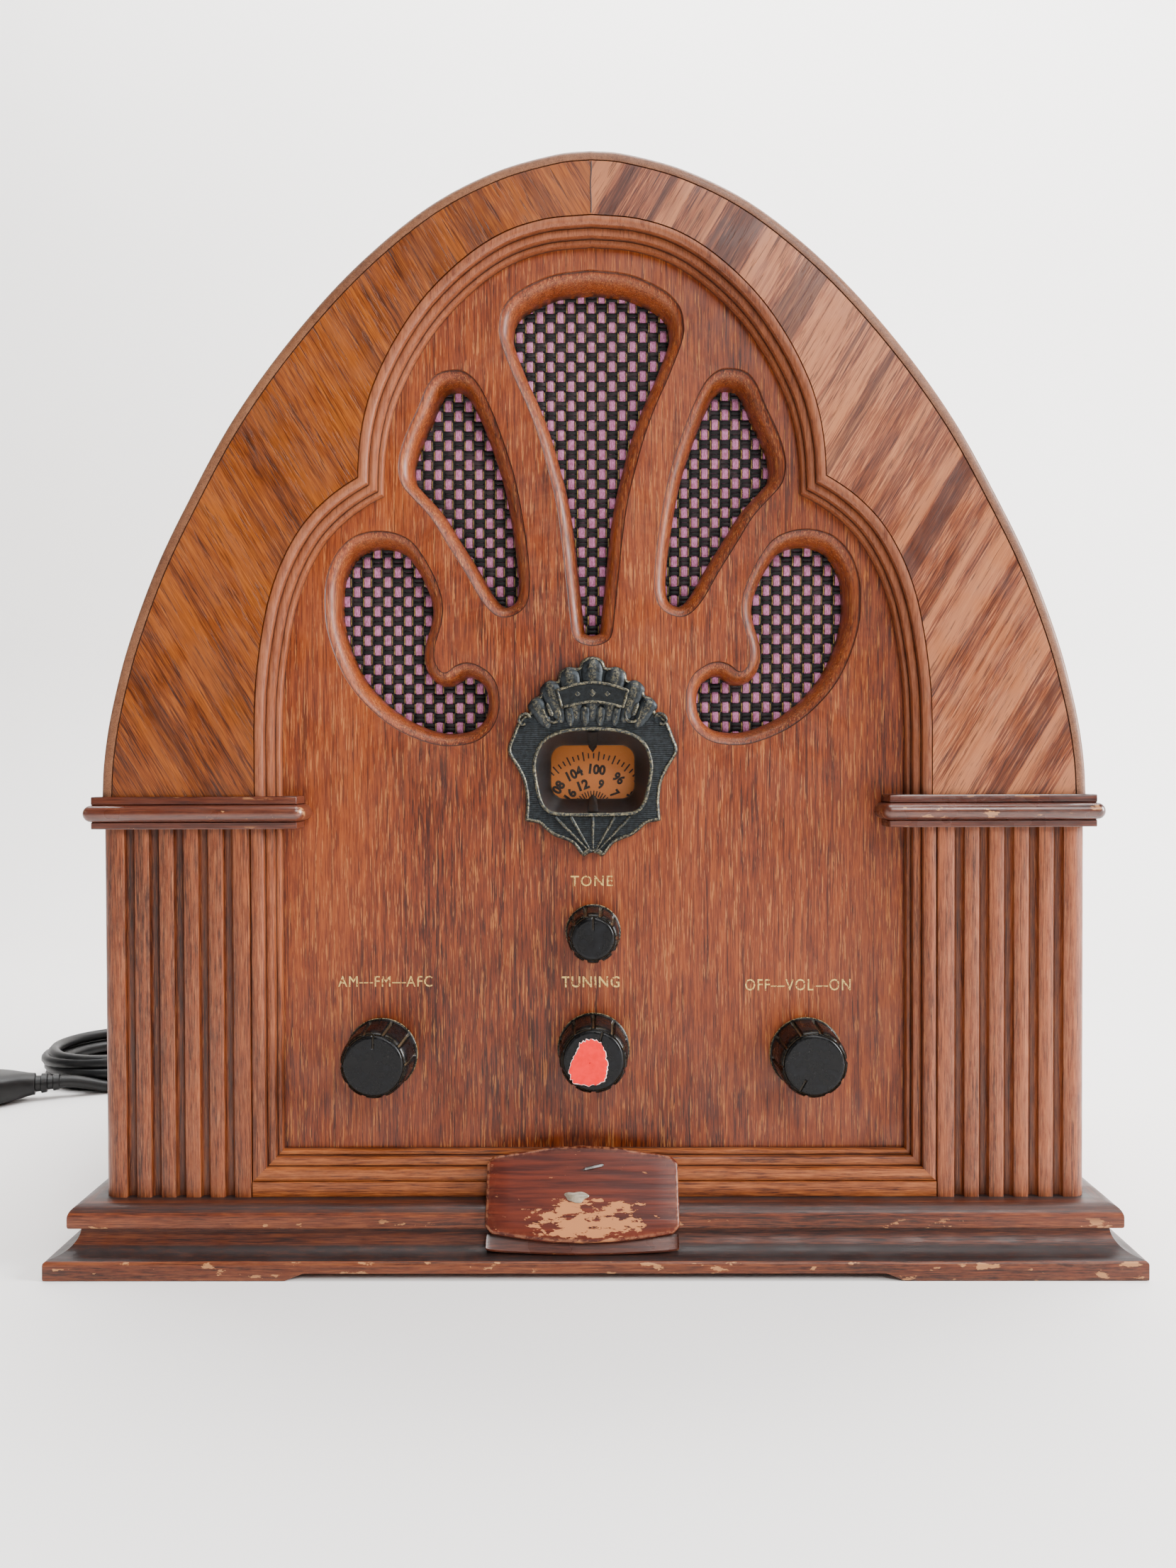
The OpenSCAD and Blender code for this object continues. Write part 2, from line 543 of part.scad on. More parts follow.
// ---- back ---------------------------------------------------------------
module back_panel() color("burlywood") difference() {
    slab(back_y - 5, back_y - 2) intersection() {
        arch_2d(shell_t + 0.2);
        translate([-150, ledge_z]) square([300, 300]);
    }
    for (p = cleat_xz) rod(p[0], p[1], 150, 190, 1.8);
    rod(exit_x, exit_z, 150, 190, 6.1);
    both() for (k = [0:6]) slab(150, 190)
        translate([8, 150 + 13 * k]) square([k > 5 ? 40 : 56, 4.5]);
    for (k = [0:4]) slab(150, 190)
        translate([70, 44 + 11 * k]) square([40, 4.5]);
}
module back_cleats() color("wheat") difference() {
    intersection() {
        for (p = cleat_xz) box(p[0] - 11, back_y - 19, p[1] - 12,
            p[0] + 11, back_y - 5, p[1] + 12);
        slab(150, 190) arch_2d(shell_t);
    }
    for (p = cleat_xz) rod(p[0], p[1], 150, 190, 1.55);
}
module back_screws() color("gainsboro") for (p = cleat_xz) {
    rod(p[0], p[1], back_y - 17, back_y - 1.9, 1.5);
    rod(p[0], p[1], back_y - 2, back_y - 0.4, 3.6, 2.6);
}
module strain_relief() color("#202020")
    translate([exit_x, front_y, exit_z]) rotate([-90, 0, 0])
    rotate_extrude($fn = 48) polygon([[0, 166], [7.2, 166], [7.2, 169.8],
        [6, 169.9], [6, 173.05], [8, 173.1], [8, 175], [5.6, 175.6],
        [5.2, 178], [3.4, 200], [0, 200]]);

// ---- mains lead ---------------------------------------------------------
// a tube swept along a smooth curve through route points
module tube(route, r, sides, n) {
    q = [for (p = curve(route, n)) p + [0, front_y, 0]];
    m = len(q);
    polyhedron(
        points = [for (i = [0:m - 1])
            let (t = unit(q[min(i + 1, m - 1)] - q[max(i - 1, 0)]),
                s = unit(cross([0, 0, 1], t)), u = cross(t, s))
            for (k = [0:sides - 1]) q[i] + r * (cos(360 * k / sides) * s
                + sin(360 * k / sides) * u)],
        faces = concat([[for (k = [sides - 1:-1:0]) k]],
            [[for (k = [0:sides - 1]) (m - 1) * sides + k]],
            [for (i = [0:m - 2]) for (k = [0:sides - 1])
                [i * sides + k, i * sides + (k + 1) % sides,
                 (i + 1) * sides + (k + 1) % sides, (i + 1) * sides + k]]));
}
module cord_run() color("#202020") tube(run_pts, cord_r, 10, 2);
module cord_tail() color("#202020") tube(tail_pts, cord_r, 10, 1);
module cord_coil() color("#202020")
    translate([coil_c[0], coil_c[1] + front_y, 0]) rotate_extrude($fn = 96)
    polygon([[21.4, 0.8], [22.4, 0], [35.6, 0], [36.6, 0.8], [36.6, 9.6],
        [35.6, 10.2], [31.6, 10.4], [31.4, 15], [26.6, 15], [26.4, 10.4],
        [22.4, 10.2], [21.4, 9.6]]);
// moulded two-pin plug lying flat beside the coil
module plug_place() translate([-227, 179.8 + front_y, 6.6])
    rotate([0, 0, 200]) children();
module plug() color("#202020") plug_place() {
    rotate([0, 90, 0]) cylinder(h = 12.2, r1 = 3.3, r2 = 5.2);
    translate([0, 0, -6.2]) linear_extrude(height = 12.4)
        polygon([[12, -5], [15, -7], [20, -9.8], [24, -11], [37, -11],
            [38, -10], [38, 10], [37, 11], [24, 11], [20, 9.8], [15, 7],
            [12, 5]]);
}
module plug_blades() color("gold") plug_place()
    for (y = [-6.35, 6.35]) translate([38, y - 0.75, -3.15])
        cube([17, 1.5, 6.3]);

base_board();
plinth_front();
plinth_left();
plinth_right();
cabinet_shell();
front_baffle();
arch_frame_left();
arch_frame_right();
arch_moulding_left();
arch_moulding_right();
side_moulding_left();
side_moulding_right();
bottom_rail();
column_left();
column_right();
capital_left();
capital_right();
plaque();
plaque_block();
grille_cloth();
speaker_basket();
speaker_cone();
speaker_magnet();
speaker_screws();
dial_escutcheon();
dial_lens();
dial_disc();
dial_drum();
dial_shaft();
tuning_capacitor();
chassis_bracket();
dial_lamp();
dial_cord();
tuning_shaft();
knob_tuning();
knob_sticker();
knob_band();
band_shaft();
band_switch();
knob_volume();
volume_shaft();
volume_pot();
knob_tone();
tone_shaft();
tone_pot();
control_nuts();
circuit_board();
if_cans();
electrolytics();
ferrite_antenna();
power_transformer();
back_panel();
back_cleats();
back_screws();
strain_relief();
cord_run();
cord_coil();
cord_tail();
plug();
plug_blades();
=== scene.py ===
"""Looks of a small arched table radio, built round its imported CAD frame.

Sizes are written in millimetres as (x, depth, z): x from the centre line, depth back from the
front of the plinth, z up from the table. metres() turns them into the row frame.
"""
import math

import bmesh
import bpy
import numpy as np
from mathutils import Matrix, Vector, geometry


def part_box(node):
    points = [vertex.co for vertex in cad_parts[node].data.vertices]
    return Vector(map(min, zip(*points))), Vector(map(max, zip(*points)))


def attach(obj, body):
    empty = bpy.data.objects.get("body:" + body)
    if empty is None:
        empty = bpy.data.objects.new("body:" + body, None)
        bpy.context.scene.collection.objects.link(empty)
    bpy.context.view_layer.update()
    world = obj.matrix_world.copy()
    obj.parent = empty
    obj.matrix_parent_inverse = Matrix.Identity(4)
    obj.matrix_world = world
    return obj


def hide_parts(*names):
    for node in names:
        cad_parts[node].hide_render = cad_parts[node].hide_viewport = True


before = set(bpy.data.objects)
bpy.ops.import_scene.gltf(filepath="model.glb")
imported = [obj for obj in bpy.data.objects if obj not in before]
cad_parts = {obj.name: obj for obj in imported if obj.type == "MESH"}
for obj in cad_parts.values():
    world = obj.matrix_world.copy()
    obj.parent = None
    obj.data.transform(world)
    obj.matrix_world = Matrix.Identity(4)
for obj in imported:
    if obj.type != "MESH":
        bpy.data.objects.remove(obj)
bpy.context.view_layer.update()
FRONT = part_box("plinth_front")[0].y
SEED = np.random.default_rng(7)


def metres(points):
    """Points in (x, depth, z) millimetres as an array in the row frame."""
    return np.asarray(points, float) / 1000 + (0, FRONT, 0)


# ---- camera, lights and stage ------------------------------------------------------------
FOCAL = 1661 / 2212 * 36  # focal length in sensor widths of the long side
# the camera's own turns, and its place in millimetres
YAW, PITCH, ROLL = (math.radians(a) for a in (-0.358, -0.798, -0.185))
EYE = (0.75, -316.97, 139.2)


def make_camera():
    forward = Vector((math.sin(YAW) * math.cos(PITCH), math.cos(YAW) * math.cos(PITCH), math.sin(PITCH)))
    level = Vector((math.cos(YAW), -math.sin(YAW), 0))
    up = level.cross(forward)
    right = level * math.cos(ROLL) + up * math.sin(ROLL)
    top = up * math.cos(ROLL) - level * math.sin(ROLL)
    data = bpy.data.cameras.new("camera")
    data.sensor_width = 36
    data.lens = FOCAL
    data.clip_start = 0.01
    camera = bpy.data.objects.new("camera", data)
    bpy.context.scene.collection.objects.link(camera)
    turn = Matrix((right, top, -forward)).transposed().to_4x4()
    camera.matrix_world = Matrix.Translation(metres(EYE)) @ turn
    bpy.context.scene.camera = camera


def area_light(name, place, aim, size, power, colour):
    data = bpy.data.lights.new(name, "AREA")
    data.shape = "RECTANGLE"
    data.size, data.size_y = size
    data.energy = power
    data.color = colour
    lamp = bpy.data.objects.new(name, data)
    bpy.context.scene.collection.objects.link(lamp)
    lamp.location = place
    lamp.rotation_mode = "QUATERNION"
    lamp.rotation_quaternion = (Vector(aim) - Vector(place)).to_track_quat("-Z", "Y")


def make_lights():
    area_light("window", (1.6, -0.42, 0.66), (0, 0, 0.15), (0.6, 0.8), 84, (0.97, 0.985, 1.0))
    area_light("front", (0.5, -1.3, 1.1), (0, 0, 0.12), (0.7, 0.5), 22, (1.0, 0.985, 0.97))
    area_light("fill", (-1.4, -0.9, 0.6), (0, 0, 0.12), (0.8, 0.8), 3, (1.0, 0.975, 0.95))
    area_light("top", (0.15, -0.1, 1.4), (0, 0, 0.1), (0.9, 0.7), 22, (1.0, 1.0, 1.0))
    area_light("wall", (0, 0.35, 1.5), (0, 0.88, 0.35), (1.8, 0.3), 36, (1.0, 1.0, 1.0))
    world = bpy.data.worlds.new("studio")
    world.use_nodes = True
    background = world.node_tree.nodes["Background"]
    background.inputs[0].default_value = (0.86, 0.90, 0.93, 1)
    background.inputs[1].default_value = 0.14
    bpy.context.scene.world = world


make_camera()
make_lights()


# ---- curves in the x-z plane -------------------------------------------------------------
def blend4(a, b, c, d, t):
    return 0.5 * (2 * b + (c - a) * t + (2 * a - 5 * b + 4 * c - d) * t**2 + (3 * b - a - 3 * c + d) * t**3)


def smooth(points, steps, closed=False):
    """A smooth curve through the points, with that many steps to each span."""
    p = np.asarray(points, float)
    count = len(p)
    out = []
    for i in range(count if closed else count - 1):
        a = p[i - 1] if closed or i > 0 else 2 * p[0] - p[1]
        c = p[(i + 1) % count]
        d = p[(i + 2) % count] if closed or i + 2 < count else 2 * p[i + 1] - p[i]
        out += [blend4(a, p[i], c, d, k / steps) for k in range(steps)]
    if not closed:
        out.append(p[-1])
    return np.array(out)


def spaced(points, count, closed=False):
    """The same line with count points spread evenly along it."""
    p = np.vstack([points, points[:1]]) if closed else np.asarray(points, float)
    run = np.concatenate([[0], np.cumsum(np.linalg.norm(np.diff(p, axis=0), axis=1))])
    at = np.linspace(0, run[-1], count, endpoint=not closed)
    return np.stack([np.interp(at, run, p[:, k]) for k in range(p.shape[1])], axis=1)


def sideways(q, closed=False):
    """Unit normals to the left of a line's direction."""
    if closed:
        t = np.roll(q, -1, axis=0) - np.roll(q, 1, axis=0)
    else:
        t = np.gradient(q, axis=0)
    t /= np.linalg.norm(t, axis=1)[:, None] + 1e-12
    return np.stack([-t[:, 1], t[:, 0]], axis=1)


def moved(q, d, closed=False, steps=8):
    """A line moved d to its left, a little at a time so that tight bends don't fold over."""
    q = np.array(q, float)
    if d == 0:
        return q
    ends = q[[0, -1]].copy()
    for _ in range(steps):
        q = q + sideways(q, closed) * d / steps
        if closed:
            q = 0.9 * q + 0.05 * (np.roll(q, 1, axis=0) + np.roll(q, -1, axis=0))
        for i, end in ((0, ends[0]), (-1, ends[1])):
            if not closed and abs(end[0]) < 0.01:
                q[i, 0] = 0
    return q


def crossing(a, b):
    """Where line a crosses line b: (whole and part index along a, the same along b, point)."""
    for i in range(len(a) - 1):
        r = a[i + 1] - a[i]
        s = b[1:] - b[:-1]
        w = b[:-1] - a[i]
        det = r[0] * s[:, 1] - r[1] * s[:, 0]
        det = np.where(np.abs(det) < 1e-12, 1e-12, det)
        t = (w[:, 0] * s[:, 1] - w[:, 1] * s[:, 0]) / det
        u = (w[:, 0] * r[1] - w[:, 1] * r[0]) / det
        hit = np.where((t >= 0) & (t <= 1) & (u >= 0) & (u <= 1))[0]
        if len(hit):
            return i, hit[0], a[i] + r * t[hit[0]]
    raise ValueError("the two lines don't cross")


def inside(loop, points):
    """Which of the points lie inside a closed loop."""
    a, b = loop, np.roll(loop, -1, axis=0)
    x, z = points[:, :1], points[:, 1:]
    rise = np.where(a[:, 1] == b[:, 1], 1e-12, b[:, 1] - a[:, 1])
    at = a[:, 0] + (z - a[:, 1]) / rise * (b[:, 0] - a[:, 0])
    return (((a[:, 1] > z) != (b[:, 1] > z)) & (at > x)).sum(axis=1) % 2 == 1


def mirror(points):
    return np.asarray(points, float) * (-1, 1)


LEDGE = 18.6
# (x, z) points on the right half of the cabinet's arch, its inner opening and the grille
ARCH = [[138, LEDGE], [138, 100], [138, 131], [137, 145], [134.5, 158.5], [130, 175], [122.5, 195],
        [113.5, 213.5], [101, 236], [85.5, 257.5], [67, 278], [46.5, 295], [27.5, 305], [10, 310], [0, 311]]
LOBE = [[66.5, 221], [66, 229], [64.5, 238], [61.5, 247.5], [55.5, 259.5], [47, 271.5], [36, 282],
        [25, 289], [13, 292.8], [0, 294]]
SHOULDER = [[96, 150], [95.5, 162], [94, 174.5], [91.5, 187], [87.5, 198], [82, 207.5], [75, 215],
            [66.5, 221], [56, 226]]
FAN = [[0, 173.8], [2.5, 174.2], [4.9, 175.6], [5.9, 178], [6.5, 183], [7.5, 192.3], [8.9, 205.5],
       [10.5, 215.8], [12.8, 225], [15.2, 233.5], [18.2, 241.6], [22.3, 250.8], [26, 260.7],
       [26.3, 265.3], [25.3, 269.8], [22, 273.8], [16.5, 277], [10, 279.4], [0, 280.6]]
LEAF = [[39.5, 252.6], [36, 252], [32.5, 249], [29, 242.5], [25.5, 233.5], [22, 222.5], [19.8, 211.5],
        [18.2, 200.5], [17.6, 191.5], [18.6, 186], [21.5, 183], [25.5, 182], [28.7, 183.5], [32, 187.5],
        [36, 194.5], [41, 202.5], [46, 210.5], [51, 216], [54, 219.5], [55.2, 223.5], [55, 228],
        [53, 234.5], [49.5, 242], [47, 248], [44, 251.5]]
HOOK = [[60.5, 207], [56, 206.3], [51.5, 204], [48, 199.5], [45, 194], [43, 188.5], [42.5, 183.5],
        [43.5, 178.5], [44.8, 174.3], [45, 170.2], [43.8, 167.4], [42.3, 166.4], [40.8, 167.2],
        [39, 168.6], [36, 169.4], [32.7, 168.6], [29, 166], [27, 162.2], [26.5, 158], [27, 154],
        [29, 150], [32.7, 147], [37, 145.7], [43, 145.5], [49, 147], [56.5, 150.5], [63.5, 156],
        [69.5, 163], [73.5, 171], [76, 179.5], [76.5, 186.5], [76, 193.5], [73.5, 200], [69.5, 204.5],
        [65, 206.5]]


def grille_loops():
    """The five grille openings, each a closed anticlockwise loop."""
    right = smooth(FAN, 8)
    fan = np.vstack([right, mirror(right[-2:0:-1])])
    loops = [spaced(fan, 260, closed=True)]
    for shape, count in ((LEAF, 200), (HOOK, 260)):
        loop = spaced(smooth(shape, 8, closed=True), count, closed=True)
        loops += [loop, mirror(loop)[::-1]]
    return loops


def opening(d, low=131.4):
    """Right half of the stepped inner opening, moved in by d: from the crown down to a height."""
    lobe = moved(smooth(LOBE, 10), d)
    lobe = np.vstack([[[lobe[0, 0], 190]], lobe])
    shoulder = moved(smooth(SHOULDER, 10), d)
    shoulder = np.vstack([[[96 - d, low]], shoulder])
    i, j, point = crossing(lobe, shoulder)
    upper = np.vstack([point, lobe[i + 1:]])[::-1]
    lower = np.vstack([shoulder[:j + 1], point])[::-1]
    return np.vstack([spaced(upper, 90), spaced(lower, 70)])


# ---- meshes ------------------------------------------------------------------------------
class Shape:
    """Collects grids and filled outlines in (x, depth, z) millimetres into one mesh."""

    def __init__(self):
        self.points, self.faces, self.wear, self.count = [], [], [], 0

    def add(self, points, faces, wear=0.0):
        points = np.asarray(points, float).reshape(-1, 3)
        self.points.append(points)
        self.wear.append(np.broadcast_to(np.asarray(wear, float).ravel(), (len(points),)))
        self.faces += [tuple(int(i) + self.count for i in face) for face in faces]
        self.count += len(points)
        return self

    def grid(self, rows, wear=0.0, wrap=False, wrap_rows=False):
        """Quads over an array of rows by columns by 3. wear is one value, or one for each row or point."""
        rows = np.asarray(rows, float)
        r, c = rows.shape[:2]
        wear = np.asarray(wear, float)
        wear = np.broadcast_to(wear[:, None] if wear.ndim == 1 else wear, (r, c))
        faces = []
        for i in range(r if wrap_rows else r - 1):
            k = (i + 1) % r
            for j in range(c if wrap else c - 1):
                m = (j + 1) % c
                faces.append((i * c + j, i * c + m, k * c + m, k * c + j))
        return self.add(rows, faces, wear)

    def sweep(self, profile, line_at, wrap=False):
        """A grid with one row for each (a, b, wear) of a profile, the row being line_at(a, b)."""
        return self.grid([line_at(a, b) for a, b, _ in profile], [wear for _, _, wear in profile], wrap)

    def lid(self, row, wear=0.0):
        """One flat face over a closed row of points."""
        return self.add(row, [tuple(range(len(row)))], wear)

    def fill(self, loops, depth, wear=0.0):
        """A flat face inside the first loop of (x, z) points and outside the others."""
        loops = [np.asarray(p, float) for p in loops]
        edges, first = [], 0
        for p in loops:
            edges += [(first + k, first + (k + 1) % len(p)) for k in range(len(p))]
            first += len(p)
        cut = geometry.delaunay_2d_cdt([Vector(p) for p in np.vstack(loops)], edges, [], 1, 1e-5)
        flat = np.array([tuple(v) for v in cut[0]])
        middles = np.array([flat[list(face)].mean(axis=0) for face in cut[2]])
        within = sum(inside(p, middles).astype(int) for p in loops) % 2 == 1
        points = np.stack([flat[:, 0], np.full(len(flat), depth), flat[:, 1]], axis=1)
        return self.add(points, [face for face, kept in zip(cut[2], within) if kept], wear)

    def tube(self, path, radius, sides=8, wear=0.0):
        """A round bar along a path; radius is one value or one for each point."""
        path = np.asarray(path, float)
        radius = np.broadcast_to(np.asarray(radius, float), (len(path),))
        along = np.gradient(path, axis=0)
        along /= np.linalg.norm(along, axis=1)[:, None]
        helper = np.array([0.13, 1.0, 0.07])
        side = np.cross(along, helper)
        side /= np.linalg.norm(side, axis=1)[:, None]
        other = np.cross(along, side)
        a = np.arange(sides) / sides * 2 * math.pi
        ring = side[:, None] * np.cos(a)[None, :, None] + other[:, None] * np.sin(a)[None, :, None]
        rows = path[:, None] + ring * radius[:, None, None]
        self.grid(rows, wear, wrap=True)
        return self.lid(rows[0][::-1]).lid(rows[-1])

    def make(self, name, material, body="cabinet", stands_for=(), slot="walnut", sharp=35, place=None):
        """The piece itself, riding on its body and taking the place of the CAD nodes named."""
        points = np.vstack(self.points)
        if place is not None:
            points = place(points)
        mesh = bpy.data.meshes.new(name)
        mesh.from_pydata(metres(points).tolist(), [], self.faces)
        attribute = mesh.attributes.new("wear", "FLOAT", "POINT")
        attribute.data.foreach_set("value", np.concatenate(self.wear).astype(np.float32))
        form = bmesh.new()
        form.from_mesh(mesh)
        bmesh.ops.remove_doubles(form, verts=form.verts, dist=2e-6)
        bmesh.ops.dissolve_degenerate(form, edges=form.edges, dist=1e-7)
        bmesh.ops.recalc_face_normals(form, faces=form.faces)
        form.to_mesh(mesh)
        form.free()
        mesh.shade_smooth()
        for face in mesh.polygons:
            face.use_smooth = abs(face.normal.y) < 0.9999
        mesh.set_sharp_from_angle(angle=math.radians(sharp))
        mesh.materials.append(material)
        piece = bpy.data.objects.new(name, mesh)
        bpy.context.scene.collection.objects.link(piece)
        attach(piece, body)
        if stands_for:
            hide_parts(*stands_for)
        return piece


def lathe(profile, centre, turns):
    """Rows of a surface of revolution about the depth axis, from (radius, depth) points."""
    profile = np.asarray(profile, float)
    a = np.arange(turns) / turns * 2 * math.pi
    x = centre[0] + profile[:, :1] * np.sin(a)
    z = centre[1] + profile[:, :1] * np.cos(a)
    return np.stack([x, np.repeat(profile[:, 1:2], turns, axis=1), z], axis=2)


def bar(x0, y0, z0, x1, y1, z1, soft):
    """Points and faces of a box with bevelled edges."""
    form = bmesh.new()
    bmesh.ops.create_cube(form, size=1)
    bmesh.ops.scale(form, vec=(x1 - x0, y1 - y0, z1 - z0), verts=form.verts)
    bmesh.ops.translate(form, vec=((x0 + x1) / 2, (y0 + y1) / 2, (z0 + z1) / 2), verts=form.verts)
    bmesh.ops.bevel(form, geom=form.edges[:], offset=soft, segments=2, affect="EDGES", profile=0.5)
    form.verts.index_update()
    points = [tuple(v.co) for v in form.verts]
    faces = [tuple(v.index for v in f.verts) for f in form.faces]
    form.free()
    return points, faces


# ---- materials ---------------------------------------------------------------------------
def srgb(r, g, b):
    """A colour given as 0-255 display values, as the linear colour that shaders take."""
    return tuple(c / 255 / 12.92 if c <= 10 else ((c / 255 + 0.055) / 1.055) ** 2.4 for c in (r, g, b)) + (1,)


class Paint:
    """A node material on object coordinates in millimetres."""

    def __init__(self, name, roughness=0.5, metallic=0.0, coat=0.0, coat_roughness=0.2, specular=0.5):
        self.material = bpy.data.materials.new(name)
        self.material.use_nodes = True
        self.tree = self.material.node_tree
        self.shader = self.tree.nodes["Principled BSDF"]
        for socket, value in (("Roughness", roughness), ("Metallic", metallic), ("Coat Weight", coat),
                              ("Coat Roughness", coat_roughness), ("Specular IOR Level", specular)):
            self.shader.inputs[socket].default_value = value
        self.mm = self.scaled(self.node("ShaderNodeTexCoord").outputs["Object"], (1000, 1000, 1000))

    def node(self, kind):
        return self.tree.nodes.new(kind)

    def link(self, value, socket):
        if isinstance(value, bpy.types.NodeSocket):
            self.tree.links.new(value, socket)
        else:
            socket.default_value = value

    def scaled(self, vector, scale=(1, 1, 1), turn=(0, 0, 0)):
        n = self.node("ShaderNodeMapping")
        self.link(vector, n.inputs["Vector"])
        n.inputs["Scale"].default_value = scale
        n.inputs["Rotation"].default_value = [math.radians(a) for a in turn]
        return n.outputs[0]

    def noise(self, vector, scale, detail=3, rough=0.5, distortion=0.0):
        n = self.node("ShaderNodeTexNoise")
        self.link(vector, n.inputs["Vector"])
        n.inputs["Scale"].default_value = scale
        n.inputs["Detail"].default_value = detail
        n.inputs["Roughness"].default_value = rough
        n.inputs["Distortion"].default_value = distortion
        return n.outputs["Fac"]

    def math(self, operation, a, b):
        n = self.node("ShaderNodeMath")
        n.operation = operation
        self.link(a, n.inputs[0])
        self.link(b, n.inputs[1])
        return n.outputs[0]

    def step(self, value, low, high):
        """0 below low, 1 above high and a smooth slope between."""
        n = self.node("ShaderNodeMapRange")
        n.interpolation_type = "SMOOTHSTEP"
        self.link(value, n.inputs["Value"])
        n.inputs["From Min"].default_value = low
        n.inputs["From Max"].default_value = high
        return n.outputs["Result"]

    def mix(self, share, a, b):
        n = self.node("ShaderNodeMix")
        n.data_type = "RGBA"
        self.link(share, n.inputs[0])
        self.link(a, n.inputs[6])
        self.link(b, n.inputs[7])
        return n.outputs[2]

    def blend(self, share, a, b):
        n = self.node("ShaderNodeMix")
        self.link(share, n.inputs[0])
        self.link(a, n.inputs[2])
        self.link(b, n.inputs[3])
        return n.outputs[0]

    def worn(self):
        n = self.node("ShaderNodeAttribute")
        n.attribute_name = "wear"
        return n.outputs["Fac"]

    def times(self, a, b):
        return self.math("MULTIPLY", a, b)

    def plus(self, a, b):
        return self.math("ADD", a, b)

    def finish(self, colour, roughness=None, height=None, depth=0.1, strength=0.6):
        self.link(colour, self.shader.inputs["Base Color"])
        if roughness is not None:
            self.link(roughness, self.shader.inputs["Roughness"])
        if height is not None:
            n = self.node("ShaderNodeBump")
            n.inputs["Strength"].default_value = strength
            n.inputs["Distance"].default_value = depth / 1000
            self.link(height, n.inputs["Height"])
            self.link(n.outputs[0], self.shader.inputs["Normal"])
        return self.material


DUST, RUBBED, BARE_WOOD = (120, 110, 98), (200, 190, 170), (170, 118, 74)
RUB_SHARE = 0.3  # how much of a wood's worn colour shows on a rubbed edge
GRAIN_TURNS = {"up": (0, 0, 0), "across": (0, 90, 0), "back": (90, 0, 0)}


def shaded(colour, tint):
    """A display colour as linear, multiplied channel by channel."""
    return tuple(c * t for c, t in zip(srgb(*colour), tint)) + (1,)


def wood(name, dark, mid, light, pore, grain="up", pores=0.5, bands=0.0, worn=(176, 130, 104),
         shade_and_dirt=(40, 26, 22), roughness=0.45, coat=0.06, chips=0.0, fine=1.0, tint=(1, 1, 1)):
    """Stained veneer or solid wood: drifting tone, fibres along the grain, open pores, wear, and painted
    shade with some dirt where wear is below 0.
    """
    p = Paint(name, coat=coat, coat_roughness=0.28, specular=0.32)
    dark, mid, light, pore, worn = (shaded(c, tint) for c in (dark, mid, light, pore, worn))
    turn = GRAIN_TURNS.get(grain, grain)
    lined = p.scaled(p.mm, turn=turn)
    tone = p.noise(p.scaled(lined, (1, 1, 0.25)), 0.022, 3, 0.55, 0.6)
    fibre = p.noise(p.scaled(lined, (1, 1, 0.03)), 0.6 * fine, 7, 0.72, 0.25)
    hair = p.noise(p.scaled(lined, (1, 1, 0.045)), 3.2 * fine, 3, 0.65)
    cells = p.noise(p.scaled(lined, (1, 1, 0.05)), 2.7 * fine, 3, 0.6)
    body = p.plus(p.times(fibre, 0.55), p.times(tone, 0.45))
    body = p.plus(p.times(body, 0.56), p.times(hair, 0.44))
    colour = p.mix(p.step(body, 0.40, 0.50), dark, mid)
    colour = p.mix(p.step(body, 0.49, 0.59), colour, light)
    line = p.noise(p.scaled(lined, (1, 1, 0.02)), 1.5 * fine, 3, 0.6)
    colour = p.mix(p.times(p.step(line, 0.57, 0.66), 0.65), colour, dark)
    if bands:
        stripe = p.noise(p.scaled(lined, (1, 1, 0.012)), 0.13, 4, 0.6)
        colour = p.mix(p.times(p.step(stripe, 0.49, 0.58), bands), colour, light)
        colour = p.mix(p.times(p.step(stripe, 0.47, 0.40), bands), colour, dark)
    mask = p.times(p.step(cells, 0.57, 0.65), pores)
    colour = p.mix(mask, colour, pore)
    wear = p.worn()
    patch = p.noise(p.scaled(lined, (1, 1, 0.3)), 0.9, 5, 0.7)
    rub = p.times(p.step(wear, 0.1, 1.0), p.step(patch, 0.36, 0.66))
    colour = p.mix(p.times(rub, RUB_SHARE), colour, worn)
    if chips:
        chip = p.step(p.noise(p.scaled(lined, (1, 1, 0.4)), 0.35, 6, 0.6), 0.60, 0.62)
        chip = p.times(p.times(chip, p.step(wear, 0.3, 0.6)), chips)
        colour = p.mix(chip, colour, srgb(*BARE_WOOD))
    # where wear is below 0 the colour darkens: painted shade in corners, hollows and undersides, with some
    # dirt
    shade_and_dirt_mask = p.times(p.step(wear, -0.05, -1.0), p.blend(p.step(patch, 0.3, 0.6), 0.8, 1.0))
    colour = p.mix(shade_and_dirt_mask, colour, srgb(*shade_and_dirt))
    gloss = p.blend(p.step(p.noise(p.mm, 0.12, 3), 0.35, 0.65), roughness - 0.06, roughness + 0.1)
    height = p.math("SUBTRACT", p.times(fibre, 0.5), mask)
    return p.finish(colour, gloss, height, depth=0.10, strength=0.5)


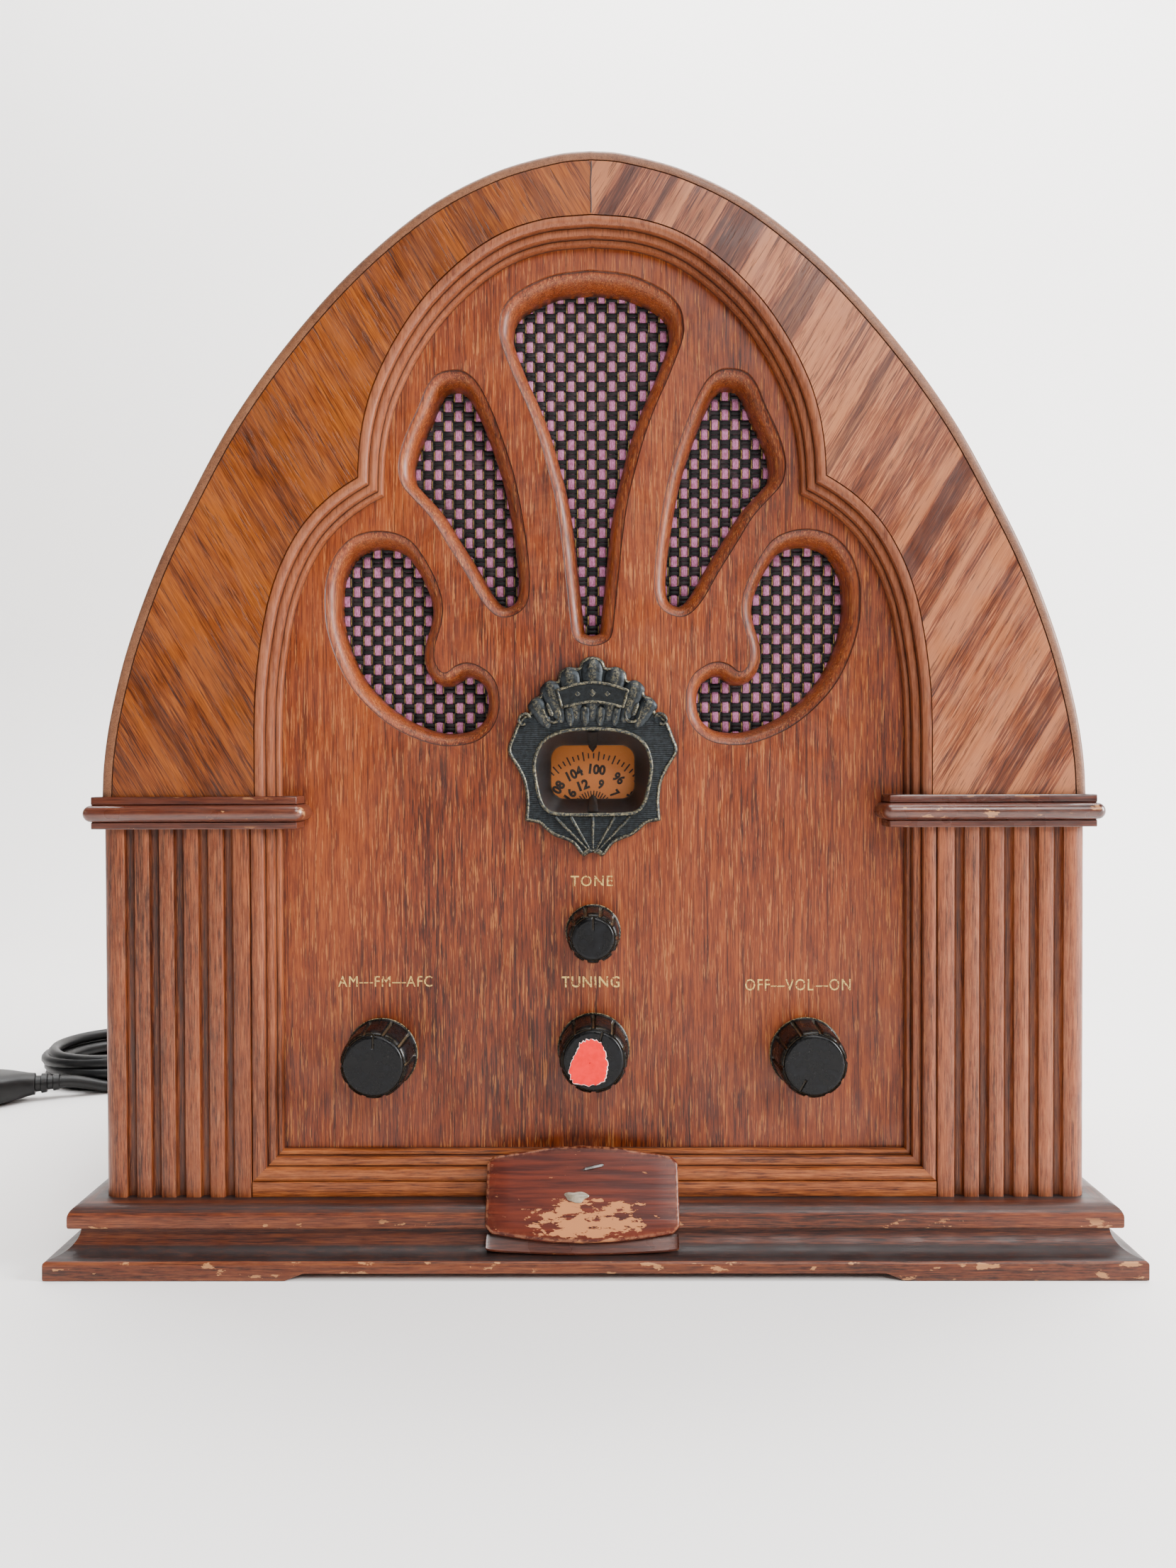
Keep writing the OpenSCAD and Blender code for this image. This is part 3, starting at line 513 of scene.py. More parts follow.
def plain(name, colour, second, scale=1.0, roughness=0.45, metallic=0.0, coat=0.0, depth=0.03,
          stretch=(1, 1, 1)):
    """A material of one stuff: mottled colour, uneven gloss, dust in hollows and rubbed edges."""
    p = Paint(name, roughness, metallic, coat)
    at = p.scaled(p.mm, stretch)
    mottle = p.noise(at, scale * 0.35, 4, 0.6)
    grit = p.noise(at, scale * 5, 3, 0.7)
    base = p.mix(p.step(mottle, 0.35, 0.65), srgb(*colour), srgb(*second))
    wear = p.worn()
    base = p.mix(p.times(p.step(wear, 0.1, 1.0), p.step(grit, 0.35, 0.6)), base, srgb(*RUBBED))
    base = p.mix(p.times(p.step(wear, -0.1, -1.0), 0.85), base, srgb(*DUST))
    gloss = p.blend(mottle, max(0.05, roughness - 0.08), roughness + 0.12)
    return p.finish(base, gloss, grit, depth=depth, strength=0.4)


LEFT_GRAIN, RIGHT_GRAIN = (0, 31, 0), (0, -31, 0)
M = {
    "panel": wood("panel_veneer", (58, 20, 9), (124, 56, 25), (160, 84, 42), (224, 156, 104), pores=0.5,
                  tint=(0.6, 0.49, 0.29)),
    "arch_left": wood("arch_veneer_left", (62, 25, 9), (132, 66, 24), (168, 94, 38), (44, 18, 8),
                      grain=LEFT_GRAIN, pores=0.6, bands=0.35, roughness=0.36, fine=0.8,
                      tint=(0.64, 0.6, 0.45)),
    # the right leaf's lighter, pinker colours and strong light stripes are partly painted sheen, the leaf
    # catching the light, and partly its own figure
    "arch_right": wood("arch_veneer_right", (64, 28, 17), (132, 72, 43), (186, 122, 82), (48, 22, 14),
                       grain=RIGHT_GRAIN, pores=0.6, bands=0.75, roughness=0.38, fine=0.8,
                       tint=(0.68, 0.6, 0.54)),
    "trim": wood("trim_wood", (56, 23, 11), (120, 62, 33), (156, 90, 54), (196, 134, 92), pores=0.35,
                 worn=(176, 126, 98),
                 tint=(0.7, 0.59, 0.47)),
    "trim_arch": wood("arch_trim_wood", (84, 40, 23), (122, 66, 38), (142, 84, 54), (72, 36, 22),
                      pores=0.3, worn=(172, 124, 98),
                      tint=(0.8, 0.7, 0.58)),
    "trim_across": wood("rail_wood", (66, 27, 12), (136, 74, 36), (172, 104, 58), (54, 22, 12),
                        grain="across", pores=0.35, worn=(176, 122, 84),
                        tint=(0.8, 0.7, 0.56)),
    "plinth_front": wood("plinth_wood", (50, 20, 12), (114, 56, 31), (148, 84, 48), (44, 20, 13),
                         grain="across", pores=0.35, worn=(166, 112, 80), shade_and_dirt=(34, 25, 24), chips=0.8,
                         tint=(0.54, 0.45, 0.36)),
    "plinth_side": wood("plinth_side_wood", (50, 20, 12), (114, 56, 31), (148, 84, 48), (44, 20, 13),
                        grain="back", pores=0.35, worn=(166, 112, 80), shade_and_dirt=(34, 25, 24), chips=0.6,
                        tint=(0.54, 0.45, 0.36)),
    "cap": wood("capital_wood", (50, 20, 13), (86, 40, 25), (112, 60, 38), (40, 18, 12), grain="across",
                pores=0.3, worn=(140, 88, 60), roughness=0.3, coat=0.6, chips=0.7,
                tint=(0.62, 0.5, 0.42)),
    "shell": wood("shell_veneer", (86, 40, 20), (126, 66, 36), (150, 88, 52), (70, 34, 20), grain="back",
                  pores=0.5, bands=0.25,
                  tint=(0.7, 0.56, 0.45)),
    "rim": wood("arch_edge", (98, 62, 42), (132, 92, 66), (156, 116, 88), (80, 50, 36), grain="back",
                pores=0.4, worn=(186, 150, 124), roughness=0.5, coat=0.15,
                tint=(0.58, 0.45, 0.35)),
    "board": wood("bare_board", (132, 96, 58), (160, 122, 80), (184, 148, 104), (112, 80, 50),
                  grain="across", pores=0.4, roughness=0.7, coat=0.0),
}


# ---- stage -------------------------------------------------------------------------------
def make_stage():
    """A pale table top that turns up into a pale backdrop behind the radio."""
    p = Paint("stage", roughness=0.75)
    tone = p.noise(p.mm, 0.004, 2)
    material = p.finish(p.mix(tone, srgb(234, 230, 227), srgb(240, 238, 236)))
    bend = 260
    a = np.linspace(0, math.pi / 2, 24)
    line = [(-2600, 0)] + [(620 + bend * math.sin(t), bend * (1 - math.cos(t))) for t in a] + [(880, 2600)]
    rows = [[(x, depth, z) for x in (-3200, 3200)] for depth, z in line]
    shape = Shape().grid(rows)
    mesh = bpy.data.meshes.new("stage")
    mesh.from_pydata(metres(shape.points[0]).tolist(), [], shape.faces)
    mesh.shade_smooth()
    mesh.materials.append(material)
    stage = bpy.data.objects.new("stage", mesh)
    bpy.context.scene.collection.objects.link(stage)


make_stage()

# ---- mains lead --------------------------------------------------------------------------
CORD_R = 2.5
RUN = [[-70, 200, 30], [-70, 216, 27.5], [-71, 231, 18.5], [-75, 244, 8], [-85, 255, 3], [-102, 261, 2.7],
       [-122, 259, 2.7], [-138, 251, 2.7], [-149, 242.5, 2.8], [-158, 235, 4.4], [-168, 226, 8.6],
       [-177.5, 217.5, 12.2], [-186, 209.5, 12.6], [-195, 200, 12.6]]
TAIL = [[-204.5, 188, 2.6], [-210, 186, 3], [-216, 183.8, 4.8], [-222, 181.6, 6.3], [-227, 179.8, 6.6]]
COIL_AT = (-216, 220)
# turns counted from the plug: (turns, radius, height)
COIL = [(0, 34, 2.6), (0.15, 33.6, 2.6), (2.0, 24, 2.6), (2.4, 24, 7.6), (4.4, 34, 7.6), (4.55, 34, 7.9),
        (5.05, 29, 12.6), (6.08, 29, 12.6)]
COIL_START, COIL_END = -70, -43.6 + 6 * 360
PLUG_AT, PLUG_TURN = (-227, 179.8, 6.6), math.radians(200)


def coil_points():
    """The coil's centreline, from the cabinet's end to the plug's."""
    total = (COIL_END - COIL_START) / 360
    t = np.linspace(total, 0, int(total * 40))
    turns, *tables = np.array(COIL).T
    radius, height = (np.convolve(np.pad(np.interp(t, turns, table), 4, mode="edge"), np.ones(9) / 9, "valid")
                      for table in tables)
    a = np.radians(COIL_START + 360 * t)
    return np.stack([COIL_AT[0] + radius * np.cos(a), COIL_AT[1] + radius * np.sin(a), height], axis=1)


def vinyl(name):
    """Soft black vinyl, a little dusty."""
    p = Paint(name, roughness=0.42, specular=0.3)
    dust = p.noise(p.mm, 0.08, 4, 0.65)
    grit = p.noise(p.mm, 3.5, 3, 0.6)
    colour = p.mix(p.step(dust, 0.42, 0.75), srgb(7, 7, 8), srgb(20, 19, 18))
    return p.finish(colour, p.blend(dust, 0.34, 0.55), grit, depth=0.02, strength=0.3)


def make_cord():
    path = np.vstack([smooth(RUN, 3)[:-1], coil_points(), smooth(TAIL, 3)[1:]])
    length = np.linalg.norm(np.diff(path, axis=0), axis=1).sum()
    curve = bpy.data.curves.new("mains_lead", "CURVE")
    curve.dimensions = "3D"
    curve.bevel_depth = CORD_R / 1000
    curve.bevel_resolution = 3
    line = curve.splines.new("POLY")
    line.points.add(len(path) - 1)
    for point, place in zip(line.points, metres(path)):
        point.co = (*place, 1)
    line.use_smooth = True
    curve.materials.append(vinyl("lead_vinyl"))
    lead = bpy.data.objects.new("mains_lead", curve)
    bpy.context.scene.collection.objects.link(lead)
    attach(lead, "cabinet")
    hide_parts("cord_run", "cord_coil", "cord_tail")
    return lead, length / 1000


def make_strain_relief():
    """A tapered relief with moulded rings, from inside the back board to 25 mm behind it."""
    profile = [(0, 166), (6.8, 166), (7.2, 166.4), (7.2, 169.4), (6.0, 169.9), (6.0, 173.05), (7.6, 173.1),
               (8, 173.5), (8, 174.6), (7.6, 175)]
    for k in range(5):
        depth, radius = 175.6 + k * 4.4, 5.6 - k * 0.5
        profile += [(radius, depth), (radius, depth + 2.4), (radius - 0.9, depth + 2.8),
                    (radius - 0.9, depth + 4.0)]
    profile += [(3.4, 198), (3.3, 199.6), (2.9, 200), (0, 200)]
    wear = [-0.6 if 175 < d < 198 and r < 4.9 and k % 4 > 1 else 0 for k, (r, d) in enumerate(profile)]
    shape = Shape().grid(lathe(profile, (-70, 30), 48), wear, wrap=True)
    return shape.make("cord_relief", vinyl("relief_vinyl"), stands_for=["strain_relief"], slot="cord_plastic")


def at_plug(points):
    """From the plug's own frame, +x towards its pins, to the radio's."""
    c, s = math.cos(PLUG_TURN), math.sin(PLUG_TURN)
    x, y, z = np.asarray(points, float).T
    return np.stack([PLUG_AT[0] + c * x - s * y, PLUG_AT[1] + s * x + c * y, PLUG_AT[2] + z], axis=1)


def make_plug():
    """A moulded flat plug: ringed relief, waist, ribbed grip and face."""
    # distance along, half width, half height, squareness
    sections = [(0, 2.9, 2.9, 2), (0.3, 3.3, 3.3, 2), (2.4, 3.5, 3.5, 2), (2.7, 2.8, 2.8, 2),
                (4.6, 2.9, 2.9, 2), (4.9, 3.9, 3.9, 2), (7.0, 4.2, 4.1, 2), (7.3, 3.3, 3.3, 2),
                (9.2, 3.5, 3.4, 2), (9.5, 4.6, 4.5, 2),
                (12, 5.1, 4.8, 2.2), (15, 6.8, 5.3, 2.6), (19, 9.4, 5.8, 3),
                (23, 10.9, 6.1, 3.6), (25, 11, 6.1, 4), (25.6, 10.4, 5.7, 4), (27, 10.4, 5.7, 4),
                (27.6, 11, 6.1, 4), (29.4, 11, 6.1, 4), (30, 10.4, 5.7, 4), (31.4, 10.4, 5.7, 4),
                (32, 11, 6.1, 4), (36.6, 11, 6.1, 4), (37.6, 10.6, 5.8, 4), (38, 10, 5.3, 4)]
    a = np.arange(48) / 48 * 2 * math.pi
    c, s = np.cos(a), np.sin(a)
    rows = []
    for along, wide, high, square in sections:
        y = wide * np.sign(c) * np.abs(c) ** (2 / square)
        z = high * np.sign(s) * np.abs(s) ** (2 / square)
        rows.append(np.stack([np.full(48, along), y, z], axis=1))
    shape = Shape().grid(rows, wrap=True).lid(rows[0][::-1]).lid(rows[-1])
    plug = shape.make("plug_moulding", vinyl("plug_vinyl"), stands_for=["plug"], slot="cord_plastic",
                      place=at_plug)
    pins = Shape()
    for y in (-6.35, 6.35):
        pins.add(*bar(38, y - 0.75, -3.15, 55, y + 0.75, 3.15, 0.3))
    brass = plain("pin_brass", (196, 160, 96), (178, 142, 84), roughness=0.28, metallic=1.0)
    blades = pins.make("plug_pins", brass, stands_for=["plug_blades"], slot="brass_parts", place=at_plug)
    return plug, blades


lead, LEAD_LENGTH = make_cord()
relief = make_strain_relief()
plug_body, plug_pins = make_plug()

# ---- cabinet -----------------------------------------------------------------------------
FACE, PANEL, SHELL_BACK = 12, 19.2, 175  # depths of the arch's face, the front board's face and the back
CAP_LOW, CAP_TOP = 122.4, 131.4
RIM = 3.4
OUT, IN = 138, 96  # half widths of the cabinet and of its inner opening
BOARD_BACK = 29.2
RAIL_MITRE = 23  # height where the rail and the side mouldings start their mitre
SIDES = ((-1, "left"), (1, "right"))
# (inset, depth, wear) across the stepped moulding; wear below 0 darkens a corner: painted shade, with some
# dirt
ARCH_STEPS = [(1.1, 12.8, -0.5), (1.15, 12.35, 0.1), (1.5, 12.05, 0.7), (2.3, 12, 0.75), (3.1, 12.15, 0.6),
              (3.65, 12.6, 0.4), (3.8, 13.3, -0.2), (3.8, 14.75, -1), (3.9, 14.5, 0.2), (4.3, 14.4, 0.6),
              (5.1, 14.45, 0.6), (5.75, 14.75, 0.4), (6, 15.4, -0.2), (6, 17, -1), (6.1, 16.85, 0.2),
              (6.5, 16.8, 0.6), (7, 16.95, 0.5), (7.3, 17.4, 0.2), (7.4, 18.2, -0.2), (7.4, 19.2, -1)]
LEG_STEPS = [(0, 12.8, -0.6), (0.1, 12.3, 0), (0.5, 12.05, 0.5), (1.8, 12, 0.6), (3, 12.15, 0.6),
             (3.5, 12.6, 0.3), (3.6, 13.3, -0.2), (3.6, 14.75, -1), (3.75, 14.5, 0.2), (4.2, 14.4, 0.5),
             (5.2, 14.45, 0.6), (5.8, 14.75, 0.3), (6, 15.4, -0.2), (6, 17, -1), (6.1, 16.85, 0.2),
             (6.5, 16.8, 0.5), (7, 16.95, 0.4), (7.3, 17.4, 0.2), (7.4, 18.2, -0.2), (7.4, 19.2, -1)]
# the groove where the rim meets the veneer face is darkened through wear below 0: painted shade
RIM_PROFILE = [(RIM, 12.0, 0), (3.35, 12.4, -1), (3.1, 12.45, -1), (3.0, 12.05, 0.2), (2.2, 12.0, 0.3),
               (1.2, 12.1, 0.6), (0.5, 12.5, 0.9), (0.1, 13.3, 0.8), (0, 14.4, 0.4), (0, 19.2, 0)]


def deepened(line, depth):
    """(x, z) points at one depth."""
    line = np.asarray(line, float)
    return np.stack([line[:, 0], np.full(len(line), depth), line[:, 1]], axis=1)


def arch_line(d, low):
    """Right half of the arch, moved in by d, from a height up to the crown."""
    line = moved(smooth(ARCH, 10), d)
    kept = line[line[:, 1] > low]
    return spaced(np.vstack([[[OUT - d, low]], kept]), 150)


def both_halves(right):
    """A right half from its foot to the crown, and on down the left."""
    return np.vstack([right, mirror(right[-2::-1])])


def make_arch():
    for side, name in SIDES:
        flip = (side, 1)
        inner = opening(1.1)[::-1] * flip
        outer = arch_line(RIM, CAP_TOP)[::-1] * flip
        face = Shape().fill([np.vstack([outer, inner])], FACE)
        face.make(f"arch_veneer_{name}", M[f"arch_{name}"], stands_for=[f"arch_frame_{name}"],
                  slot=f"burl_{name}")
        rim = Shape().sweep(RIM_PROFILE, lambda d, y: deepened(arch_line(d, CAP_TOP) * flip, y))
        rim.make(f"arch_rim_{name}", M["rim"])
        bead = Shape().sweep(ARCH_STEPS, lambda d, y: deepened(opening(d) * flip, y))
        bead.make(f"arch_bead_{name}", M["trim_arch"], stands_for=[f"arch_moulding_{name}"])
        leg = Shape().sweep(LEG_STEPS, lambda d, y: [(side * (IN - d), y, RAIL_MITRE + d
                                                      + (CAP_LOW - (RAIL_MITRE + d)) * h)
                                                     for h in np.linspace(0, 1, 12)])
        leg.make(f"leg_bead_{name}", M["trim"], stands_for=[f"side_moulding_{name}"])


def make_shell():
    """The bent shell: outside, rounded rear edge and inside."""
    back = SHELL_BACK
    section = [(0, PANEL, 0), (0, 60, 0), (0, 120, 0), (0, back - 0.8, 0.4), (0.25, back - 0.2, 0.9),
               (0.8, back, 0.3), (5.4, back, 0.2), (5.9, back - 0.3, 0.4), (6, back - 1, -0.3), (6, 100, 0),
               (6, 29.4, 0)]
    shell = Shape().sweep(section, lambda d, y: deepened(both_halves(arch_line(d, LEDGE)), y))
    shell.make("shell_skin", M["shell"], stands_for=["cabinet_shell"])


# (inward, depth, wear) of a grille opening's routed edge; wear below 0 paints the shadow line in the step at
# its outer edge and shade down the deep wall
HOLE_EDGE = [(0, PANEL, 0.5), (0.04, 19.75, -0.6), (0.25, 20.0, -0.8), (0.7, 20.1, 0.3), (1.5, 20.5, 0.7),
             (2.3, 21.3, 0.7), (3.0, 22.6, 0.5), (3.5, 24.4, 0.2), (3.75, 26.4, -0.4), (3.8, BOARD_BACK, -1)]


def window_loop(grow, count=96):
    """The dial window's rounded rectangle, anticlockwise."""
    corners = []
    for sx, sz, start in ((1, 1, 0), (-1, 1, 90), (-1, -1, 180), (1, -1, 270)):
        a = np.radians(start + np.linspace(0, 90, 9))
        corners.append(np.stack([sx * (9 + grow) + 4 * np.cos(a), 137.9 + sz * (4.6 + grow) + 4 * np.sin(a)],
                                axis=1))
    return spaced(np.vstack(corners), count, closed=True)


def make_panel():
    """The pierced front board with its routed grille openings."""
    half = opening(6.6, 29.5)
    outline = np.vstack([half, mirror(half)[::-1][:-1]])
    loops = grille_loops()
    window = window_loop(3)
    shape = Shape().fill([outline, *loops, window], PANEL)
    for loop in loops:
        shape.sweep(HOLE_EDGE, lambda d, y: deepened(moved(loop, d, closed=True), y), wrap=True)
    shape.grid([deepened(window, PANEL), deepened(window, BOARD_BACK)], wrap=True)
    shape.fill([both_halves(arch_line(6.1, LEDGE)), *[moved(loop, 3.8, closed=True) for loop in loops],
                window], BOARD_BACK)
    shape.make("front_board", M["panel"], stands_for=["front_baffle"], slot="panel_wood")


# (height, depth, wear) up the rail; wear below 0 darkens the inner corners of the steps: painted shade, with
# some dirt
RAIL = [(LEDGE, 12.1, -1), (18.9, 12, 0.2), (21, 12, 0.3), (22.7, 12, 0.5), (22.9, 12.3, -0.2),
        (RAIL_MITRE, 12.8, -1),
        (23.15, 12.3, 0.2), (23.6, 12, 0.6), (25.2, 12, 0.6), (26.2, 12.2, 0.5), (26.55, 12.8, 0.2),
        (26.6, 14.7, -1), (26.8, 14.45, 0.3), (27.4, 14.4, 0.6), (28.5, 14.5, 0.5), (28.95, 14.9, 0.2),
        (29, 17, -1), (29.15, 16.85, 0.2), (29.6, 16.8, 0.6), (30.2, 17, 0.4), (30.4, 17.6, 0),
        (30.4, PANEL, -1)]


def make_rail():
    rail = Shape().sweep(RAIL, lambda z, y: [(x * (IN - max(0, z - RAIL_MITRE)), y, z)
                                             for x in np.linspace(-1, 1, 40)])
    rail.make("front_rail", M["trim_across"], stands_for=["bottom_rail"])


def column_section():
    """(x, depth, wear) across a fluted column, from its inner side round to its outer side."""
    flute, pitch, first = 1.45, 6.9, 102.4
    points = [(96.2, 19.2, -1), (96.2, 12.6, -0.4), (96.45, 12.1, 0.4), (96.9, 12, 0.3)]
    for k in range(5):
        middle = first + pitch * k
        points += [(middle - flute - 0.25, 12, 0.6), (middle - flute, 12.15, 0.8)]
        # each flute's hollow is darkened through wear below 0, most at its bottom: painted shade
        for a in np.radians(np.linspace(180, 360, 9)):
            points.append((middle + flute * math.cos(a), 12.45 - 1.5 * math.sin(a),
                           -0.55 if math.sin(a) < -0.8 else -0.2))
        points += [(middle + flute, 12.15, 0.8), (middle + flute + 0.25, 12, 0.6)]
    for a in np.radians(np.linspace(90, 0, 9)):
        points.append((134 + 4 * math.cos(a), 16 - 4 * math.sin(a), 0.6))
    points.append((OUT, PANEL, 0))
    return points


def make_columns():
    section = column_section()
    heights = np.linspace(LEDGE, CAP_LOW, 14)
    for side, name in SIDES:
        column = Shape().sweep(section, lambda x, y: [(side * x, y, z) for z in heights])
        column.make(f"fluted_column_{name}", M["trim"], stands_for=[f"column_{name}"], sharp=40)


def around(p, left=82.65, right=139.75, front=10.25, back=PANEL):
    """A capital's plan at a projection p beyond its core, with rounded corners."""
    arc = np.radians(np.linspace(0, 90, 7))
    line = [(left - p, y) for y in np.linspace(back, front, 4)[:-1]]
    line += [(left - p * math.cos(a), front - p * math.sin(a)) for a in arc]
    line += [(left + (right - left) * k / 12, front - p) for k in range(1, 12)]
    line += [(right + p * math.sin(a), front - p * math.cos(a)) for a in arc]
    line += [(right + p, y) for y in np.linspace(front, back, 4)[1:]]
    return line


def make_capitals():
    # wear below 0 darkens the corners beside the bullnose and the core behind: painted shade
    profile = [(-3, 122.4, -0.5), (0, 122.4, 0), (0.15, 122.6, 0.5), (0.15, 124.1, 0.1), (0, 124.3, -0.4),
               (-0.3, 124.4, -1)]
    for a in np.radians(np.linspace(-85, 85, 13)):
        profile.append((2.35 * math.cos(a), 126.75 + 2.35 * math.sin(a), 0.75 if abs(a) < 0.9 else 0))
    profile += [(-0.3, 129.1, -1), (0, 129.2, -0.4), (0.15, 129.4, 0.1), (0.15, 131.1, 0.5), (0, 131.4, 0.3),
                (-3, 131.4, 0)]
    for side, name in SIDES:
        shape = Shape().sweep(profile, lambda p, z: [(side * x, y, z) for x, y in around(p)])
        for p, z, _ in (profile[0], profile[-1]):
            shape.lid([(side * x, y, z) for x, y in around(p)])
        shape.make(f"capital_mould_{name}", M["cap"], stands_for=[f"capital_{name}"])


def plinth_section():
    """(inset from the foot's edge, height, wear) up the plinth; wear below 0 darkens the cove, the bead's
    underside and the ledge: painted shade, with some dirt.
    """
    points = [(4, 0, 0), (0.5, 0, 0.8), (0.12, 0.15, 1), (0, 0.5, 0.9), (0, 2.4, 0.5), (0, 4.4, 0.7),
              (0.15, 4.9, 0.9), (0.5, 5.2, 0.4), (0.9, 5.3, -1)]
    for a in np.radians(np.linspace(-86, 0, 12)):
        points.append((0.9 + 6.7 * math.cos(a), 12.2 + 6.7 * math.sin(a), -0.95 if a < -0.75 else -0.35))
    points += [(7.6, 12.4, -1), (6.4, 12.4, -0.8), (5.1, 12.45, 0.3), (4.8, 12.7, 0.7), (4.7, 13.2, 0.6),
               (4.7, 15.3, 0.4)]
    for a in np.radians(np.linspace(180, 95, 9)[1:]):
        points.append((7.9 + 3.2 * math.cos(a), 15.3 + 3.3 * math.sin(a), 0.1 if a > 2.6 else -0.7))
    points += [(8.4, LEDGE, -0.4), (11.9, LEDGE, -1), (17.95, LEDGE, -1), (17.95, 0, -1), (4, 0, 0)]
    return points


PLINTH_HALF, PLINTH_DEEP = 150, 178
RELIEF, FRONT_SPAN, SIDE_SPAN = 2.2, 79, 40  # clearance between the feet, and half its two spans


def lifted(z, along, half):
    """Height of a plinth point, with the relieved middle between the feet."""
    return max(z, RELIEF * min(1, max(0, (half + 5 - abs(along)) / 5)))


def make_plinth():
    section = plinth_section()
    inner, outer = FRONT_SPAN / PLINTH_HALF, (FRONT_SPAN + 5) / PLINTH_HALF
    stops = [-1, -0.9, -outer, -inner, -0.4, -0.2, 0, 0.2, 0.4, inner, outer, 0.9, 1]
    front = Shape().sweep(section, lambda d, z: [
        (s * (PLINTH_HALF if abs(s) < 0.85 else PLINTH_HALF - d), d, lifted(z, s * PLINTH_HALF, FRONT_SPAN))
        for s in stops])
    front.make("plinth_mould_front", M["plinth_front"], stands_for=["plinth_front"])
    depths = np.array([0, 0.02, 0.25, 0.28, 0.5, 0.72, 0.75, 1])
    for side, name in SIDES:
        def along(d, z):
            return [(side * (PLINTH_HALF - d), y, lifted(z, y - PLINTH_DEEP / 2, SIDE_SPAN))
                    for y in d + depths * (PLINTH_DEEP - d)]

        shape = Shape().sweep(section, along)
        shape.lid([along(d, z)[-1] for d, z, _ in section[:-1]], -0.5)
        shape.make(f"plinth_mould_{name}", M["plinth_side"], stands_for=[f"plinth_{name}"])


def make_seam():
    """The open joint where the two halves of the arch meet at the crown."""
    wander = 0.16 * np.sin(np.linspace(0, 9, 14)) * np.linspace(0.4, 1, 14)
    heights = np.linspace(293.2, 307.4, 14)
    rows = [[(w + x, y, z) for w, z in zip(wander, heights)]
            for x, y in ((-0.3, 12.02), (-0.1, 11.97), (0.1, 11.97), (0.3, 12.02))]
    Shape().grid(rows, -1).make("crown_seam", M["trim_arch"])


make_arch()
make_seam()
make_shell()
make_panel()
make_rail()
make_columns()
make_capitals()
make_plinth()

# ---- grille cloth ------------------------------------------------------------------------
COLUMN, ROW = 3.0, 2.85  # pitch of the pink warps and of the black wefts
CLOTH_AT = 29.75


def yarn(name, colour, second, pitch, sheen=0.3, roughness=0.75, metallic=0.0):
    """Spun yarn: fine twisted strands with a soft sheen."""
    p = Paint(name, roughness, metallic, specular=0.25)
    p.shader.inputs["Sheen Weight"].default_value = sheen
    strands = p.noise(p.scaled(p.mm, (1, 1, 0.25)), pitch, 3, 0.65)
    blotch = p.noise(p.mm, 0.25, 2)
    base = p.mix(p.step(strands, 0.35, 0.65), srgb(*colour), srgb(*second))
    base = p.mix(p.times(p.step(blotch, 0.5, 0.75), 0.25), base, srgb(90, 70, 74))
    return p.finish(base, None, strands, depth=0.08, strength=0.7)


def cells_seen():
    """Warp and weft crossings that show through the grille openings, as (column, row) pairs."""
    loops = [moved(loop, 2.2, closed=True) for loop in grille_loops()]
    cells = [(i, j) for i in range(-26, 27) for j in range(50, 100)]
    middles = np.array(cells) * (COLUMN, ROW)
    shown = np.any([inside(loop, middles) for loop in loops], axis=0)
    return [cell for cell, seen in zip(cells, shown) if seen]


def strand(x, y, z, across, wide, tall, steps=5):
    """A flattened strand along (x, y, z): rows that each arch across its width."""
    path = np.stack([x + np.zeros(7), y, z + np.zeros(7)], axis=1)
    u = np.linspace(-1, 1, steps)
    rows = path[:, None] + np.array(across)[None, None] * (u * wide)[None, :, None]
    rows[:, :, 1] -= (tall * np.sqrt(np.clip(1 - u**2 * 0.96, 0, 1)))[None, :]
    return rows


